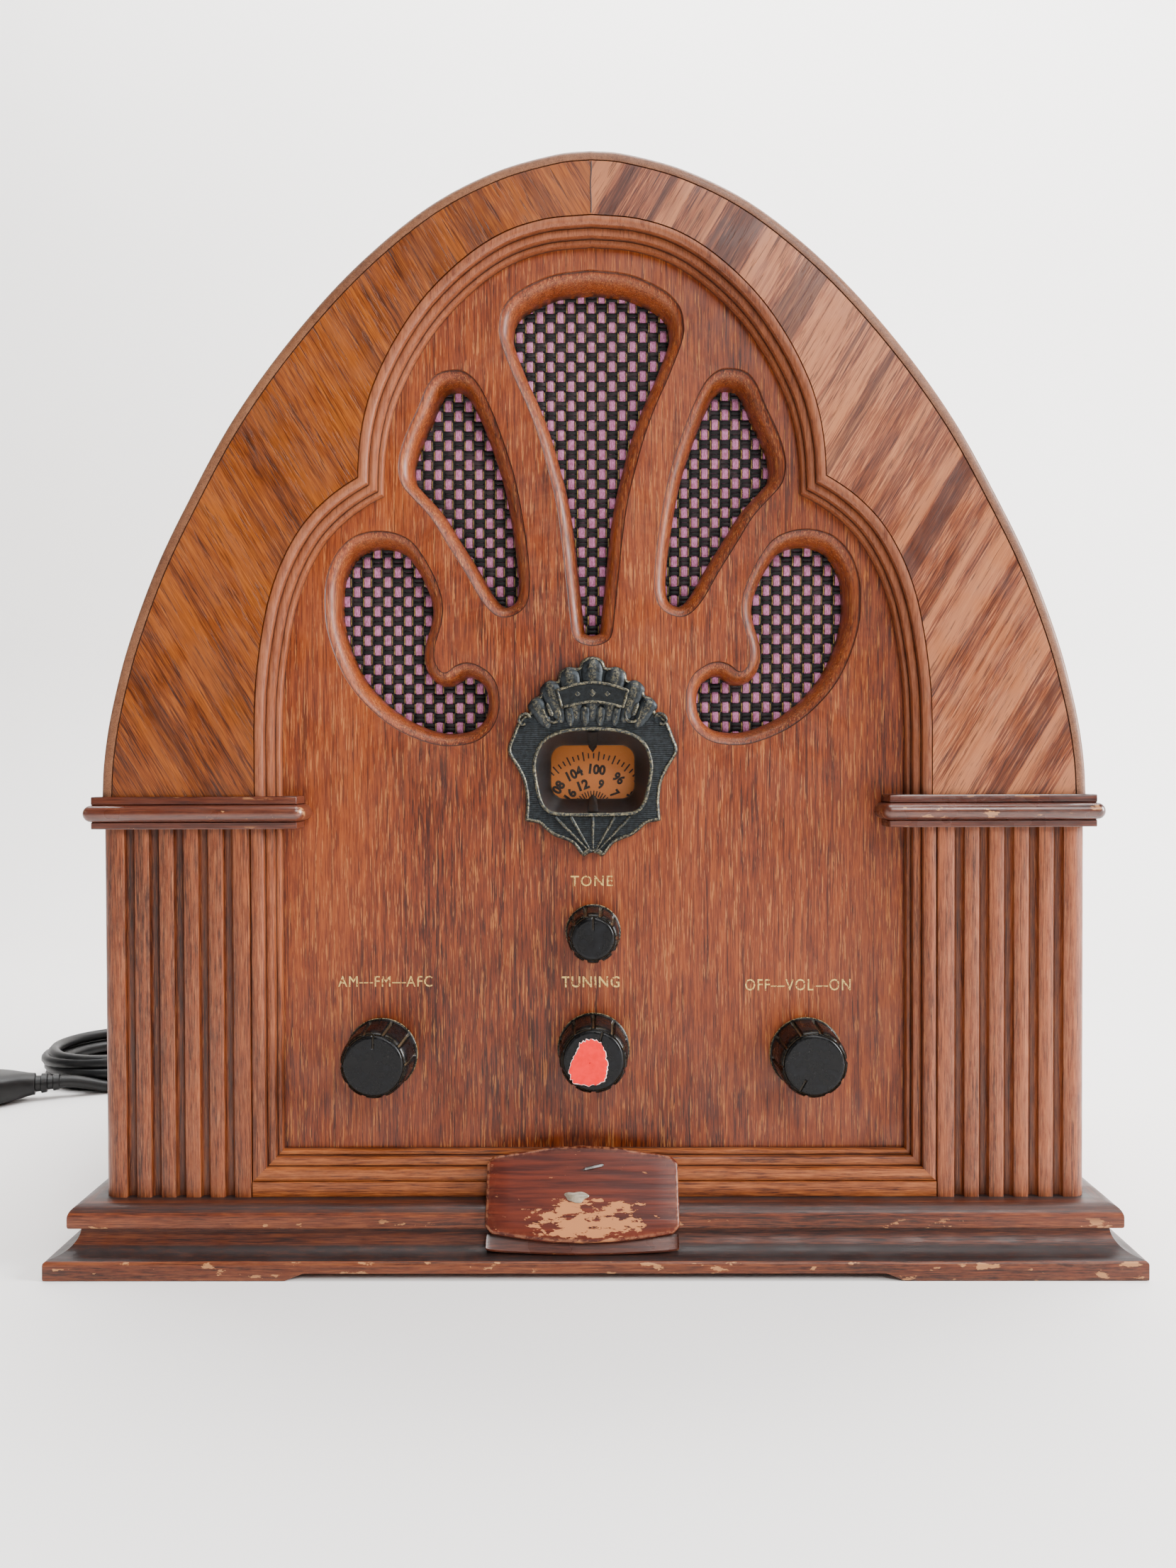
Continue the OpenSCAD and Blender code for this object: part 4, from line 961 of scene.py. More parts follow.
def make_cloth():
    warp, weft, gold, gaps = Shape(), Shape(), Shape(), Shape()
    across_x, across_z = (1.0, 0, 0), (0, 0, 1.0)
    t = np.linspace(-0.5, 0.5, 7)
    for i, j in cells_seen():
        over = 1 if (i + j) % 2 == 0 else -1
        x, z = i * COLUMN, j * ROW
        wave = np.clip(np.cos(math.pi * t) * 1.7, -1, 1) * over * 0.5
        warp.grid(strand(x, CLOTH_AT - wave, z + t * ROW * 1.04, across_x, 0.88, 0.28))
        for side in (-0.62, 0.62):
            weft.grid(strand(x + t * COLUMN, CLOTH_AT + wave * 0.9, z + side, across_z, 0.56, 0.3))
        if over > 0:
            for side in (-1.18, 1.18):
                gold.grid(strand(x + side, CLOTH_AT - wave * 0.8 + 0.1, z + t * ROW, across_x, 0.16, 0.1, 3))
        gaps.grid(strand(x - COLUMN / 2, CLOTH_AT + wave * 0.5, z + t * ROW, across_x, 0.3, 0.2, 3))
    pink = yarn("pink_yarn", (140, 70, 108), (190, 122, 160), 3.2, sheen=0.5)
    black = yarn("black_yarn", (6, 5, 6), (16, 13, 15), 3.0, roughness=0.6, sheen=0.03)
    thread = yarn("gold_thread", (110, 84, 40), (150, 126, 72), 4.0, roughness=0.4, metallic=0.5)
    for shape, name, finish in ((warp, "warps", pink), (weft, "wefts", black), (gaps, "cords", black),
                                (gold, "gold", thread)):
        shape.make(f"cloth_{name}", finish, slot="cloth", sharp=180)
    edge = [(-82, 146.8), (82, 146.8), (82, 196), (64, 246), (36, 276), (12, 284.5), (-12, 284.5), (-36, 276),
            (-64, 246), (-82, 196)]
    p = Paint("cloth_backing", roughness=0.9)
    threads = p.noise(p.scaled(p.mm, (1, 1, 0.4)), 2.0, 3)
    backing = p.finish(p.mix(threads, srgb(22, 17, 18), srgb(48, 36, 38)), None, threads, depth=0.1)
    sheet = Shape().fill([edge], CLOTH_AT + 0.75)
    sheet = sheet.make("grille_backing", backing, stands_for=["grille_cloth"], slot="cloth")


make_cloth()

# ---- escutcheon, dial and lens -----------------------------------------------------------
PLATE = [[0, 115], [1.4, 114.6], [2.4, 113.9], [3.6, 114.6], [5.6, 117.3], [8, 118.6], [11, 119.7],
         [13.4, 121.5], [15.4, 123.3], [18.6, 123.9], [19.3, 124.6], [19, 129.6], [19.7, 135], [21.6, 139.2],
         [24.2, 143.9], [23, 148], [21.5, 151.8], [19.6, 154.2], [17.9, 154.8], [18.1, 157], [16.8, 159],
         [14.9, 159.8], [14.6, 162.2], [12.4, 164], [10, 163.9], [9.5, 166.2], [7, 167.8], [4, 167.6],
         [3.3, 169.3], [1.8, 170.4], [0, 170.8]]
SIGHT = [[0, 150.2], [6, 149.9], [11, 148.6], [14.6, 146], [16.3, 142], [16.6, 138.5], [15.8, 133.5],
         [14.5, 129], [12.3, 126.7], [9, 126], [0, 125.8]]
FIELD = 17.05  # depth of the plate's ribbed field


def casting():
    """Dark antiqued casting: green-black hollows and brassy rubbed edges."""
    p = Paint("antique_casting", roughness=0.38, metallic=0.6)
    mottle = p.noise(p.mm, 0.9, 5, 0.7)
    grit = p.noise(p.mm, 6, 3, 0.6)
    base = p.mix(p.step(mottle, 0.35, 0.65), srgb(15, 17, 19), srgb(40, 46, 50))
    wear = p.worn()
    rub = p.times(p.step(wear, 0.15, 1.0), p.step(p.noise(p.mm, 1.6, 4, 0.7), 0.44, 0.62))
    base = p.mix(rub, base, srgb(118, 110, 86))
    base = p.mix(p.times(p.step(wear, -0.1, -1.0), 0.9), base, srgb(18, 20, 20))
    return p.finish(base, p.blend(mottle, 0.3, 0.55), grit, depth=0.06, strength=0.5)


def plate_half_width(z):
    """The plate's half width at a height, inside its rim bead."""
    p = np.array(PLATE)
    return float(np.interp(z, np.maximum.accumulate(p[2:, 1]), p[2:, 0])) - 1.1


def sight_half_width(z):
    """The window frame's outer half width at a height, 0 above and below it."""
    line = smooth(SIGHT, 6)[::-1]
    if z <= line[0, 1] or z >= line[-1, 1]:
        return 0.0
    return float(np.interp(z, np.maximum.accumulate(line[:, 1]), line[:, 0])) + 0.3


def lobe(start, end, wide, tall):
    """A gadroon: a long domed ridge, thin at its start and full at its end."""
    start, end = np.array(start, float), np.array(end, float)
    along = end - start
    side = np.array([-along[1], along[0]]) / np.linalg.norm(along)
    t = np.linspace(0, 1, 14)
    rounded = np.sqrt(np.clip(1 - ((t - 0.82) / 0.19) ** 2, 0, 1))
    half = wide * np.sqrt(np.clip(1 - (1 - t) ** 2, 0, 1)) * np.where(t > 0.82, rounded, 1)
    u = np.linspace(-1, 1, 9)
    rows = []
    for k, v in enumerate(t):
        at = start + along * v + np.outer(u, side) * half[k]
        lift = tall * np.sqrt(np.clip(1 - u**2, 0, 1)) * half[k] / wide
        rows.append(np.stack([at[:, 0], FIELD + 0.05 - lift, at[:, 1]], axis=1))
    worn = np.tile(np.where(np.abs(u) < 0.4, 0.6, np.where(np.abs(u) > 0.9, -1, 0)), (14, 1))
    return rows, worn


def make_escutcheon():
    shape = Shape()
    right = smooth(PLATE, 4)
    outline = spaced(np.vstack([right, mirror(right[-2:0:-1])]), 320, closed=True)
    edge = [(0, 19.18, 0), (0, 17.7, 0.1), (0.12, 17.1, 0.7), (0.4, 16.65, 1), (0.75, 16.5, 1),
            (1.05, 16.7, 0.7), (1.2, 17.1, -1)]
    shape.sweep(edge, lambda d, y: deepened(moved(outline, d, closed=True, steps=4), y), wrap=True)
    sight = smooth(SIGHT, 8)
    sight_loop = spaced(np.vstack([sight, mirror(sight[-2:0:-1])])[::-1], 160, closed=True)
    shape.fill([moved(outline, 1.15, closed=True, steps=4), moved(sight_loop, -0.2, closed=True)],
               FIELD, -0.2)
    # ribbed field on both sides of the window and below it
    levels = np.arange(115.6, 152.4, 0.275)
    for side in (-1, 1):
        rows, worn = [], []
        for k, z in enumerate(levels):
            inner, outer = sight_half_width(z), max(plate_half_width(z), 0.6)
            inner = min(inner, outer - 0.3)
            rows.append([(side * (inner + (outer - inner) * s), FIELD - (0.05 if k % 2 else 0.24), z)
                         for s in (0, 0.33, 0.66, 1)])
            worn.append(0.25 if k % 2 == 0 else -0.8)
        shape.grid(rows, worn)
    # window bead and flared walls down to the dial
    bead = np.array([(math.cos(a), math.sin(a)) for a in np.linspace(-0.3, math.pi + 0.3, 8)])
    shape.grid([deepened(moved(sight_loop, 0.55 * c, closed=True, steps=2), FIELD - 0.15 - 0.6 * s)
                for c, s in bead], 0.9, wrap=True)
    inner = window_loop(-0.8, 160)
    turn = np.argmin(np.linalg.norm(inner - sight_loop[0], axis=1))
    inner = np.roll(inner, -turn, axis=0)
    lip = moved(sight_loop, 0.5, closed=True, steps=2)
    rows = [deepened(lip * (1 - s) + inner * s, 16.9 + 9.8 * s**0.9) for s in np.linspace(0, 1, 9)]
    shape.grid([*rows, deepened(inner, 28.4)], [0.1] * 8 + [0.5, -0.5], wrap=True)
    # index points at the top and foot of the window
    for low, high, tip in ((149.2, 145.2, 143.6), (126.8, 130.4, 131.4)):
        points = [(-1.5, 17.6, low), (1.5, 17.6, low), (0, 16.6, low), (-1.2, 26.6, high), (1.2, 26.6, high),
                  (0, 25.2, high), (0, 26.9, tip)]
        shape.add(points, [(0, 2, 5, 3), (2, 1, 4, 5), (3, 5, 6), (5, 4, 6), (0, 3, 4, 1)], 0.3)
    # shell lobes round the crown, small flutes under the banner
    for x0, z0, x1, z1, wide in ((0, 152, 0, 170.3, 3.3), (4.3, 152, 6.9, 167.5, 3.2),
                                 (8.6, 151.5, 12.6, 163.6, 3.1), (12.2, 150.2, 16.8, 158.6, 2.7)):
        for side in ((1,) if x0 == 0 else (-1, 1)):
            shape.grid(*lobe((side * x0, z0), (side * x1, z1), wide, 1.25))
    for x in (-6, -2, 2, 6):
        shape.grid(*lobe((x * 1.02, 150.6), (x * 1.15, 156.8), 1.7, 0.95))
    # blank curved banner with a bead round it and three small lozenges
    top = smooth([(-10, 161), (-5, 162.6), (0, 163.2), (5, 162.6), (10, 161)], 8)
    foot = smooth([(8.6, 156.2), (4.3, 157.3), (0, 157.8), (-4.3, 157.3), (-8.6, 156.2)], 8)
    banner = spaced(np.vstack([top, foot])[::-1], 120, closed=True)
    shape.grid([deepened(banner, FIELD), deepened(banner, 15.6)], 0, wrap=True)
    shape.fill([banner], 15.75, -0.6)
    shape.tube(deepened(np.vstack([banner, banner[:2]]), 15.7), 0.42, 8, 0.9)
    for x in (-4.2, 0, 4.2):
        z = 160.3 - abs(x) * 0.07
        size = 1.1 if x == 0 else 0.8
        points = [(x - size, 15.75, z), (x, 15.75, z - size), (x + size, 15.75, z), (x, 15.75, z + size),
                  (x, 15.35, z)]
        shape.add(points, [(0, 1, 4), (1, 2, 4), (2, 3, 4), (3, 0, 4)], 0.8)
    # scrolls and pills beside the banner, curls on the shoulders, fan ribs under the window
    scroll = smooth([(10.6, 157.8), (9.3, 154.4), (9.8, 152.6), (11.4, 152.1), (12.9, 153.1), (13.9, 155.4),
                     (14.9, 158)], 6)
    curl = smooth([(17.6, 153.2), (18.4, 154.4), (20, 154.2), (20.9, 152.8), (20.2, 151.5), (19, 151.7)], 6)
    pill = np.array([(12.9, 157.5), (12.6, 156.8), (11.6, 154.3), (11.4, 153.8)])
    for line, size in ((scroll, 0.45), (curl, 0.42), (pill, (0.35, 0.7, 0.7, 0.35))):
        for side in (-1, 1):
            shape.tube(deepened(line * (side, 1), 16.5), size, 8, 0.75)
    for x in (-10.6, -6.2, 0, 6.2, 10.6):
        ends = np.array([(x * 0.17, 116.2), (x, 125.2)])
        line = ends[0] + (ends[1] - ends[0]) * np.linspace(0, 1, 6)[:, None]
        shape.tube(deepened(line, 16.85), np.linspace(0.28, 0.5, 6), 8, 0.7)
    for side in (-1, 1):
        hook = smooth([(side * 0.3, 115.2), (side * 1.4, 115.9), (side * 2.6, 115)], 5)
        shape.tube(deepened(hook, 16.8), 0.4, 8, 0.7)
    shape.make("escutcheon_casting", casting(), stands_for=["dial_escutcheon"], slot="antique_metal",
               sharp=50)


def glass():
    """Clear lens with a faint film of dust."""
    p = Paint("dial_glass", roughness=0.06)
    p.shader.inputs["Transmission Weight"].default_value = 1.0
    p.shader.inputs["IOR"].default_value = 1.3
    film = p.noise(p.mm, 0.6, 4, 0.7)
    return p.finish(p.mix(film, (1, 1, 1, 1), (0.93, 0.91, 0.88, 1)), p.blend(film, 0.02, 0.09))


def text_shape(text, centre, width, height, depth, turn=0.0, spread=1.0, bold=0.0):
    """Flat letters: centred, of that width and height, turned clockwise in degrees."""
    curve = bpy.data.curves.new("letters", "FONT")
    curve.body = text
    curve.space_character = spread
    curve.resolution_u = 3
    curve.offset = bold
    letters = bpy.data.objects.new("letters", curve)
    bpy.context.scene.collection.objects.link(letters)
    bpy.context.view_layer.update()
    mesh = bpy.data.meshes.new_from_object(letters.evaluated_get(bpy.context.evaluated_depsgraph_get()))
    p = np.array([v.co[:2] for v in mesh.vertices])
    faces = [tuple(f.vertices) for f in mesh.polygons]
    bpy.data.objects.remove(letters)
    bpy.data.meshes.remove(mesh)
    bpy.data.curves.remove(curve)
    low, high = p.min(axis=0), p.max(axis=0)
    p = (p - (low + high) / 2) * ((width, height) / (high - low))
    c, s = math.cos(math.radians(turn)), math.sin(math.radians(turn))
    x = centre[0] + p[:, 0] * c + p[:, 1] * s
    z = centre[1] - p[:, 0] * s + p[:, 1] * c
    return np.stack([x, np.full(len(p), depth), z], axis=1), faces


DIAL_AT = (0, 126.4)
MHZ_TURN = 8.05  # degrees of disc for each megahertz
FM_MIDDLE, FM_TURN = 100, 6.3  # the figure that stands near the top at rest, and its turn


def make_dial():
    p = Paint("dial_orange", roughness=0.45)
    tone = p.noise(p.mm, 0.12, 3)
    speck = p.noise(p.mm, 2.5, 3, 0.7)
    colour = p.mix(tone, srgb(196, 108, 40), srgb(214, 130, 60))
    colour = p.mix(p.times(p.step(speck, 0.62, 0.72), 0.5), colour, srgb(150, 84, 40))
    p.link(colour, p.shader.inputs["Emission Color"])
    p.shader.inputs["Emission Strength"].default_value = 0.04  # painted glow: a little light given off by the disc itself
    orange = p.finish(colour, None, speck, depth=0.02)
    profile = [(1.6, 31.6), (21.6, 31.6), (21.8, 31.5), (21.8, 30.9), (21.6, 30.8), (1.6, 30.8), (1.6, 31.6)]
    disc = Shape().grid(lathe(profile, DIAL_AT, 128), wrap=True)
    disc.make("dial_face", orange, body="dial", stands_for=["dial_disc"], slot="dial_print", sharp=40)
    print_shape = Shape()
    face = 30.77

    def figures(text, radius, height, angle):
        a = math.radians(angle)
        at = (radius * math.sin(a), DIAL_AT[1] + radius * math.cos(a))
        print_shape.add(*text_shape(text, at, 1.65 * len(text), height, face, angle, bold=0.05))

    def tick(angle, r0, r1, wide):
        a = math.radians(angle)
        out = np.array([math.sin(a), math.cos(a)])
        side = np.array([math.cos(a), -math.sin(a)]) * wide / 2
        corners = [out * r0 - side, out * r0 + side, out * r1 + side, out * r1 - side]
        print_shape.add([(DIAL_AT[0] + c[0], face, DIAL_AT[1] + c[1]) for c in corners], [(0, 1, 2, 3)])

    for k in range(-8, 24):
        angle = FM_TURN - 8 * MHZ_TURN + k * (2 * MHZ_TURN / 3)
        if -62 <= angle <= 104:
            tick(angle, *((14.9, 17.6) if k % 3 == 0 else (15.5, 17.1)), 0.42)
    for angle in range(-78, 110, 9):
        tick(angle, 4.3, 6.0, 0.34)
    for mhz in (88, 92, 96, 100, 104, 108):
        figures(str(mhz), 12.3, 3.1, FM_TURN - (mhz - FM_MIDDLE) * MHZ_TURN)
    for label, angle in (("16", -54), ("12", -20), ("9", 17), ("7", 52), ("6", 78), ("5", 100)):
        figures(label, 8.2, 3.0, angle)
    ink = plain("dial_ink", (30, 18, 14), (44, 28, 20), roughness=0.6)
    print_shape.make("dial_figures", ink, body="dial", slot="dial_print")
    pane, front, back = window_loop(2.3), 27.6, 28.3
    lens = Shape().fill([pane], front).fill([pane], back)
    lens.grid([deepened(pane, front), deepened(pane, back)], wrap=True)
    lens.make("dial_pane", glass(), stands_for=["dial_lens"], slot="clear_lens")


make_escutcheon()
make_dial()

# ---- knobs and lettering -----------------------------------------------------------------
KNOB_FACE, KNOB_BACK = 4.0, 18.4
KNOBS = {  # name: (x, z, rim radius, face radius, pointer's turn)
    "band": (-60.5, 57.6, 10.3, 8.35, 0), "tuning": (0, 59, 10.3, 8.35, 18),
    "volume": (60.5, 57.6, 10.3, 8.35, 210), "tone": (0, 92.4, 7.9, 5.9, 0)}


def bakelite():
    """Black moulded phenolic: glossy, finely scratched, with grey dust in the slots."""
    p = Paint("knob_bakelite", roughness=0.24, specular=0.16)
    smear = p.noise(p.mm, 0.35, 4, 0.65)
    scratch = p.noise(p.scaled(p.mm, (1, 1, 0.12), (0, 37, 0)), 2.6, 2, 0.6)
    base = p.mix(p.step(smear, 0.45, 0.75), srgb(9, 9, 10), srgb(20, 21, 24))
    marks = p.times(p.step(scratch, 0.69, 0.75), p.step(smear, 0.5, 0.62))
    base = p.mix(p.times(marks, 0.55), base, srgb(84, 90, 98))
    wear = p.worn()
    base = p.mix(p.times(p.step(wear, -0.1, -1.0), 0.9), base, srgb(74, 62, 46))
    rub = p.times(p.step(wear, 0.2, 1.0), p.step(p.noise(p.mm, 1.5, 4, 0.7), 0.42, 0.6))
    base = p.mix(rub, base, srgb(136, 118, 84))
    gloss = p.blend(p.step(smear, 0.35, 0.7), 0.2, 0.42)
    return p.finish(base, gloss, smear, depth=0.04, strength=0.25)


# (inward from the rim or from the face's edge, depth, wear) of a knob, from its back to its face
KNOB_SIDE = [(0.3, KNOB_BACK, 0.2), (0.02, 18.2, 0.9), (0, 17.9, 1), (0.1, 17.7, 0.7), (0.45, 17.5, -0.3),
             (0.55, 16.8, 0), (0.62, 13.5, 0), (0.72, 10, 0), (0.85, 6.4, 0), (1.0, 5.6, 0.1),
             (1.25, 5.1, 0.35), (1.5, 4.75, 0.3)]
KNOB_FRONT = [(-0.3, 4.62, 0.1), (-0.12, 4.9, -0.8), (0, 4.85, -0.5), (0.06, 4.5, 0.1), (0.35, 4.15, 0.3),
              (0.75, KNOB_FACE, 0.1)]
KNOB_FRONT += [(inward, KNOB_FACE + 0.02, 0) for inward in (1.1, 1.5, 1.9, 2.3, 2.7, 3.1, 3.5, 3.8, 4.1)]
KNOB_ANGLES, SLOT_TURN = 240, 36  # points round a knob, and degrees from one grip slot to the next


def make_knob(name, finish):
    x, z, rim, face, turn = KNOBS[name]
    profile = [(3.2, KNOB_BACK, 0), *[(rim - d, y, w) for d, y, w in KNOB_SIDE],
               *[(face - d, y, w) for d, y, w in KNOB_FRONT], (0.02, KNOB_FACE + 0.05, 0)]
    p = np.array(profile)
    a = np.arange(KNOB_ANGLES) / KNOB_ANGLES * 2 * math.pi
    from_slot = np.abs((np.degrees(a) - 90 - turn + SLOT_TURN / 2) % SLOT_TURN - SLOT_TURN / 2)
    radius, depth, wear = (np.repeat(p[:, k:k + 1], KNOB_ANGLES, axis=1) for k in range(3))
    slot_share = np.clip(1 - (from_slot * math.pi / 180 * rim - 0.35) / 0.35, 0, 1)
    grip = ((p[:, 1] < 17.45) & (p[:, 0] > face + 0.4))[:, None]
    radius = radius - grip * slot_share[None] * 0.85
    wear = np.where(grip & (slot_share[None] > 0.5), -0.9, wear)
    from_pointer = np.abs((np.degrees(a) - turn + 180) % 360 - 180)
    near = np.clip(1 - (np.sin(np.radians(np.minimum(from_pointer, 90)))[None] * radius - 0.22) / 0.15, 0, 1)
    near *= (from_pointer[None] < 60) & (radius < face - 0.2) & (radius > face - 3.7)
    depth = depth + near * 0.4
    wear = np.where(near > 0.5, -0.45, wear)
    rows = np.stack([x + radius * np.sin(a), depth, z + radius * np.cos(a)], axis=2)
    knob = Shape().grid(rows, wear, wrap=True)
    knob.make(f"knob_{name}_moulding", finish, body=name, stands_for=[f"knob_{name}"], slot="knob_plastic")


def make_sticker():
    """A torn round label, left blank: red with a pale torn edge."""
    x, z = -1, 58.4
    edge = smooth([(-4.8, -5.4), (0.4, -6.2), (4.4, -4.6), (5, 0), (3.6, 4.8), (0.6, 6.6), (-2.4, 5.6),
                   (-4, 2.4), (-5.6, -1)], 8, closed=True)
    ragged = 1 + 0.035 * SEED.standard_normal(len(edge))
    edge = edge * ragged[:, None]
    profile = [(1, 3.99, 0.9), (0.985, 3.86, 0.8), (0.95, 3.82, 0.35), (0.88, 3.82, 0), (0.5, 3.82, 0),
               (0.02, 3.82, 0)]
    label = Shape().sweep(profile, lambda share, depth: deepened(edge * share + (x, z), depth), wrap=True)
    p = Paint("label_paper", specular=0.15)
    blotch = p.noise(p.mm, 0.5, 4, 0.6)
    base = p.mix(p.step(blotch, 0.35, 0.7), srgb(222, 0, 6), srgb(236, 8, 18))
    torn = p.step(p.plus(p.times(p.worn(), 0.6), p.noise(p.mm, 0.5, 4)), 0.86, 0.96)
    paper = p.finish(p.mix(torn, base, srgb(240, 206, 198)), None, p.noise(p.mm, 4, 3), depth=0.03)
    label.make("label_blank", paper, body="tuning", stands_for=["knob_sticker"], slot="sticker")


def make_lettering():
    """Worn gilt names of the controls."""
    p = Paint("gilt_print", roughness=0.38, metallic=0.3)
    chips = p.noise(p.mm, 1.3, 4, 0.75)
    colour = p.mix(p.step(chips, 0.53, 0.58), srgb(200, 166, 92), srgb(116, 54, 26))
    gilt = p.finish(colour, None, chips, depth=0.03)
    shape = Shape()
    for text, x0, x1, z0, z1, bold in (
            ("TONE", -6.4, 5.6, 105.3, 108.3, 0), ("TUNING", -9.1, 7.5, 76.3, 79.5, 0.012),
            ("AM—FM—AFC", -73.1, -46.1, 76.6, 79.7, 0), ("OFF—VOL—ON", 43.4, 73.5, 75.3, 78.6, 0)):
        shape.add(*text_shape(text, ((x0 + x1) / 2, (z0 + z1) / 2), x1 - x0, z1 - z0, PANEL - 0.06,
                              spread=1.12, bold=bold))
    shape.make("control_names", gilt, slot="brass_parts")


knob_finish = bakelite()
for knob_name in KNOBS:
    make_knob(knob_name, knob_finish)
make_sticker()
make_lettering()

# ---- tablet in the corner of rail and plinth ---------------------------------------------
LEAN = math.radians(64)
TABLET_X = -3.2


def on_tablet(points):
    """From the tablet's own frame (across, up its face, out of it) to the radio's."""
    u, v, w = np.asarray(points, float).T
    c, s = math.cos(LEAN), math.sin(LEAN)
    return np.stack([u + TABLET_X, 4.7 + v * c - w * s, 11 + v * s + w * c], axis=1)


def make_tablet():
    half = [(0, -2.4), (9, -2.1), (17, -1.2), (24.8, 0), (26.6, 1.8), (26.6, 18.4), (24.6, 20.4), (17, 21.4),
            (9, 22.7), (0, 23.2)]
    outline = np.vstack([half, mirror(half[-2:0:-1])])
    outline = spaced(smooth(spaced(outline, 120, closed=True), 2, closed=True), 240, closed=True)
    profile = [(0, 0, 0), (0, 2.8, 0.4), (0.15, 3.2, 0.9), (0.5, 3.5, 0.8), (1, 3.6, 0.3), (3, 3.6, 0),
               (6, 3.62, 0), (9, 3.62, 0)]
    middle = (0, 10.4)

    def level_line(inset, w):
        """The outline inset near the edge, and shrunk towards the middle beyond."""
        line = (moved(outline, inset, closed=True) if inset < 2
                else (outline - middle) * (1 - inset / 11.5) + middle)
        return np.column_stack([line, np.full(len(line), w)])

    shape = Shape().sweep(profile, level_line, wrap=True).lid(level_line(*profile[-1][:2]))
    p = Paint("tablet_stain", specular=0.25)
    lined = p.scaled(p.mm, turn=(0, 90, 0))
    fibre = p.noise(p.scaled(lined, (1, 1, 0.05)), 0.6, 5, 0.65)
    small = p.noise(p.mm, 0.7, 4, 0.6)
    flakes = p.noise(p.scaled(p.mm, (0.35, 1, 1)), 0.5, 6, 0.66)
    patch = p.scaled(p.mm, (1 / 15, 0, 1 / 5.5))
    patch.node.inputs["Location"].default_value = (1.2 / 15, 0, -15.6 / 5.5)
    reach = p.node("ShaderNodeVectorMath")
    reach.operation = "LENGTH"
    p.link(patch, reach.inputs[0])
    near = p.step(reach.outputs["Value"], 1.5, 0.6)
    level = p.plus(flakes, p.times(near, 0.17))
    colour = p.mix(p.step(fibre, 0.35, 0.65), srgb(52, 15, 8), srgb(88, 32, 16))
    bare = p.step(level, 0.635, 0.65)
    colour = p.mix(bare, colour, srgb(166, 106, 64))
    rub = p.times(p.step(p.worn(), 0.1, 1), p.step(small, 0.4, 0.6))
    colour = p.mix(p.times(rub, 0.6), colour, srgb(150, 96, 66))
    stain = p.finish(colour, p.blend(bare, 0.36, 0.62), p.math("SUBTRACT", fibre, p.times(bare, 2.0)),
                     depth=0.12, strength=0.6)
    shape.make("name_tablet", stain, stands_for=["plaque"], slot="worn_tablet", place=on_tablet, sharp=40)
    staple = Shape().tube([(0.6, 16.6, 3.5), (0.8, 16.7, 3.95), (3.2, 17.2, 4.1), (5.4, 17.7, 3.95),
                           (5.6, 17.8, 3.5)], 0.4)
    steel = plain("staple_steel", (150, 150, 150), (110, 108, 104), roughness=0.3, metallic=1.0)
    staple.make("tablet_staple", steel, slot="plated_steel", place=on_tablet)
    ring = np.linspace(0, 2 * math.pi, 28, endpoint=False)
    wobble = 1 + 0.14 * np.sin(3 * ring) + 0.08 * np.cos(5 * ring)
    glue = Shape().grid([np.stack([-1.6 + 3.3 * share * wobble * np.cos(ring),
                                   9.4 + 1.5 * share * wobble * np.sin(ring), np.full(28, w)], axis=1)
                         for share, w in ((1, 3.5), (0.9, 3.85), (0.6, 4.1), (0.2, 4.2), (0.02, 4.2))],
                        wrap=True)
    glue.make("tablet_glue", plain("dried_glue", (112, 100, 84), (150, 136, 116), roughness=0.35, coat=0.2),
              slot="worn_tablet", place=on_tablet)


def make_tablet_block():
    outline = smooth([(-26.4, 8.4), (-25, 7), (-12, 6.2), (0, 5.9), (12, 6.2), (25, 7), (26.4, 8.4)], 6)
    base = [(x + TABLET_X, z) for x, z in outline]
    rows = [[(x, y, z + lift) for x, z in base]
            for y, lift in ((12, 0), (6, 0), (3.4, 0), (2.6, 0.25), (2.4, 0.8))]
    rows.append([(x, 4.4, 11.2) for x, z in base])
    # the last row, under the tablet's foot, is darkened through wear below 0: painted shade
    block = Shape().grid(rows, [0, 0, 0.4, 0.6, 0.3, -0.8])
    block.make("tablet_block", M["cap"], stands_for=["plaque_block"])


make_tablet()
make_tablet_block()

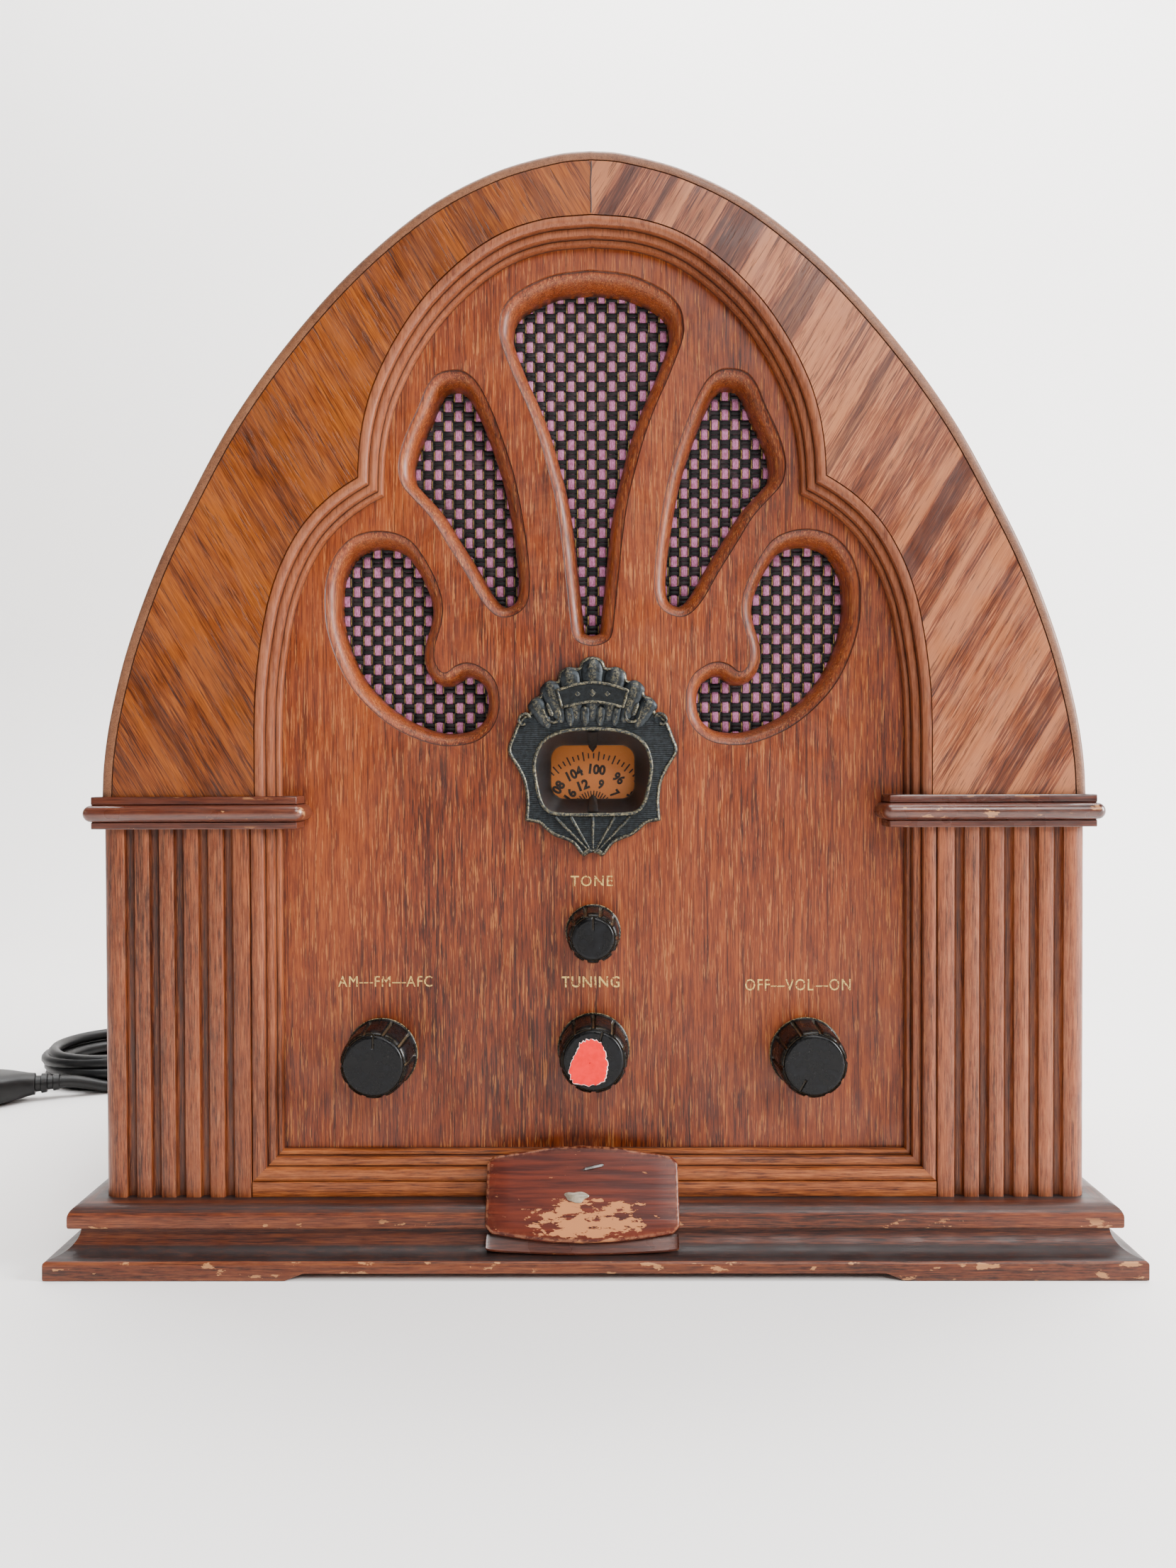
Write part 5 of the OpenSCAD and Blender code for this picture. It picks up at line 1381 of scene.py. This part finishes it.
# ---- finishes of the CAD nodes that stay -------------------------------------------------
FINISHES = {
    "steel": plain("zinc_plate", (168, 168, 160), (140, 142, 136), roughness=0.34, metallic=1.0, scale=0.6),
    "aluminium": plain("mill_aluminium", (188, 190, 192), (168, 170, 172), roughness=0.3, metallic=1.0,
                       stretch=(1, 0.1, 1)),
    "brass": plain("turned_brass", (200, 164, 98), (174, 138, 78), roughness=0.3, metallic=1.0),
    "phenolic": plain("paper_phenolic", (118, 78, 40), (96, 62, 32), roughness=0.45, scale=1.4),
    "sleeve": plain("shrink_sleeve", (34, 62, 116), (26, 48, 92), roughness=0.3, coat=0.3),
    "ferrite": plain("ferrite_grey", (44, 44, 46), (62, 60, 58), roughness=0.6),
    "iron": plain("varnished_core", (74, 66, 60), (56, 50, 46), roughness=0.5, metallic=0.4,
                  stretch=(1, 6, 1)),
    "ivory": plain("ivory_moulding", (214, 206, 176), (198, 188, 156), roughness=0.4),
    "paper": plain("cone_pulp", (46, 42, 38), (62, 56, 50), roughness=0.85, depth=0.1),
    "yarn": plain("drive_yarn", (150, 128, 84), (120, 100, 62), roughness=0.8, depth=0.1),
    "bulb": plain("bulb_glass", (226, 220, 196), (240, 236, 216), roughness=0.12, coat=0.4),
    "hardboard": plain("hardboard_back", (92, 62, 40), (116, 82, 54), roughness=0.62, scale=1.2, depth=0.08),
    "board": M["board"],
}
FINISH_OF = {
    "steel": ["speaker_basket", "speaker_magnet", "speaker_screws", "dial_shaft", "chassis_bracket",
              "band_shaft", "volume_shaft", "volume_pot", "tone_shaft", "tone_pot", "back_screws"],
    "aluminium": ["tuning_capacitor", "if_cans"],
    "brass": ["tuning_shaft", "control_nuts"],
    "phenolic": ["band_switch", "circuit_board"],
    "sleeve": ["electrolytics"],
    "ferrite": ["ferrite_antenna"],
    "iron": ["power_transformer"],
    "ivory": ["dial_drum"],
    "paper": ["speaker_cone"],
    "yarn": ["dial_cord"],
    "bulb": ["dial_lamp"],
    "hardboard": ["back_panel"],
    "board": ["base_board", "back_cleats"],
}
for finish_name, node_names in FINISH_OF.items():
    for node_name in node_names:
        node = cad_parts[node_name]
        node.data.materials.clear()
        node.data.materials.append(FINISHES[finish_name])
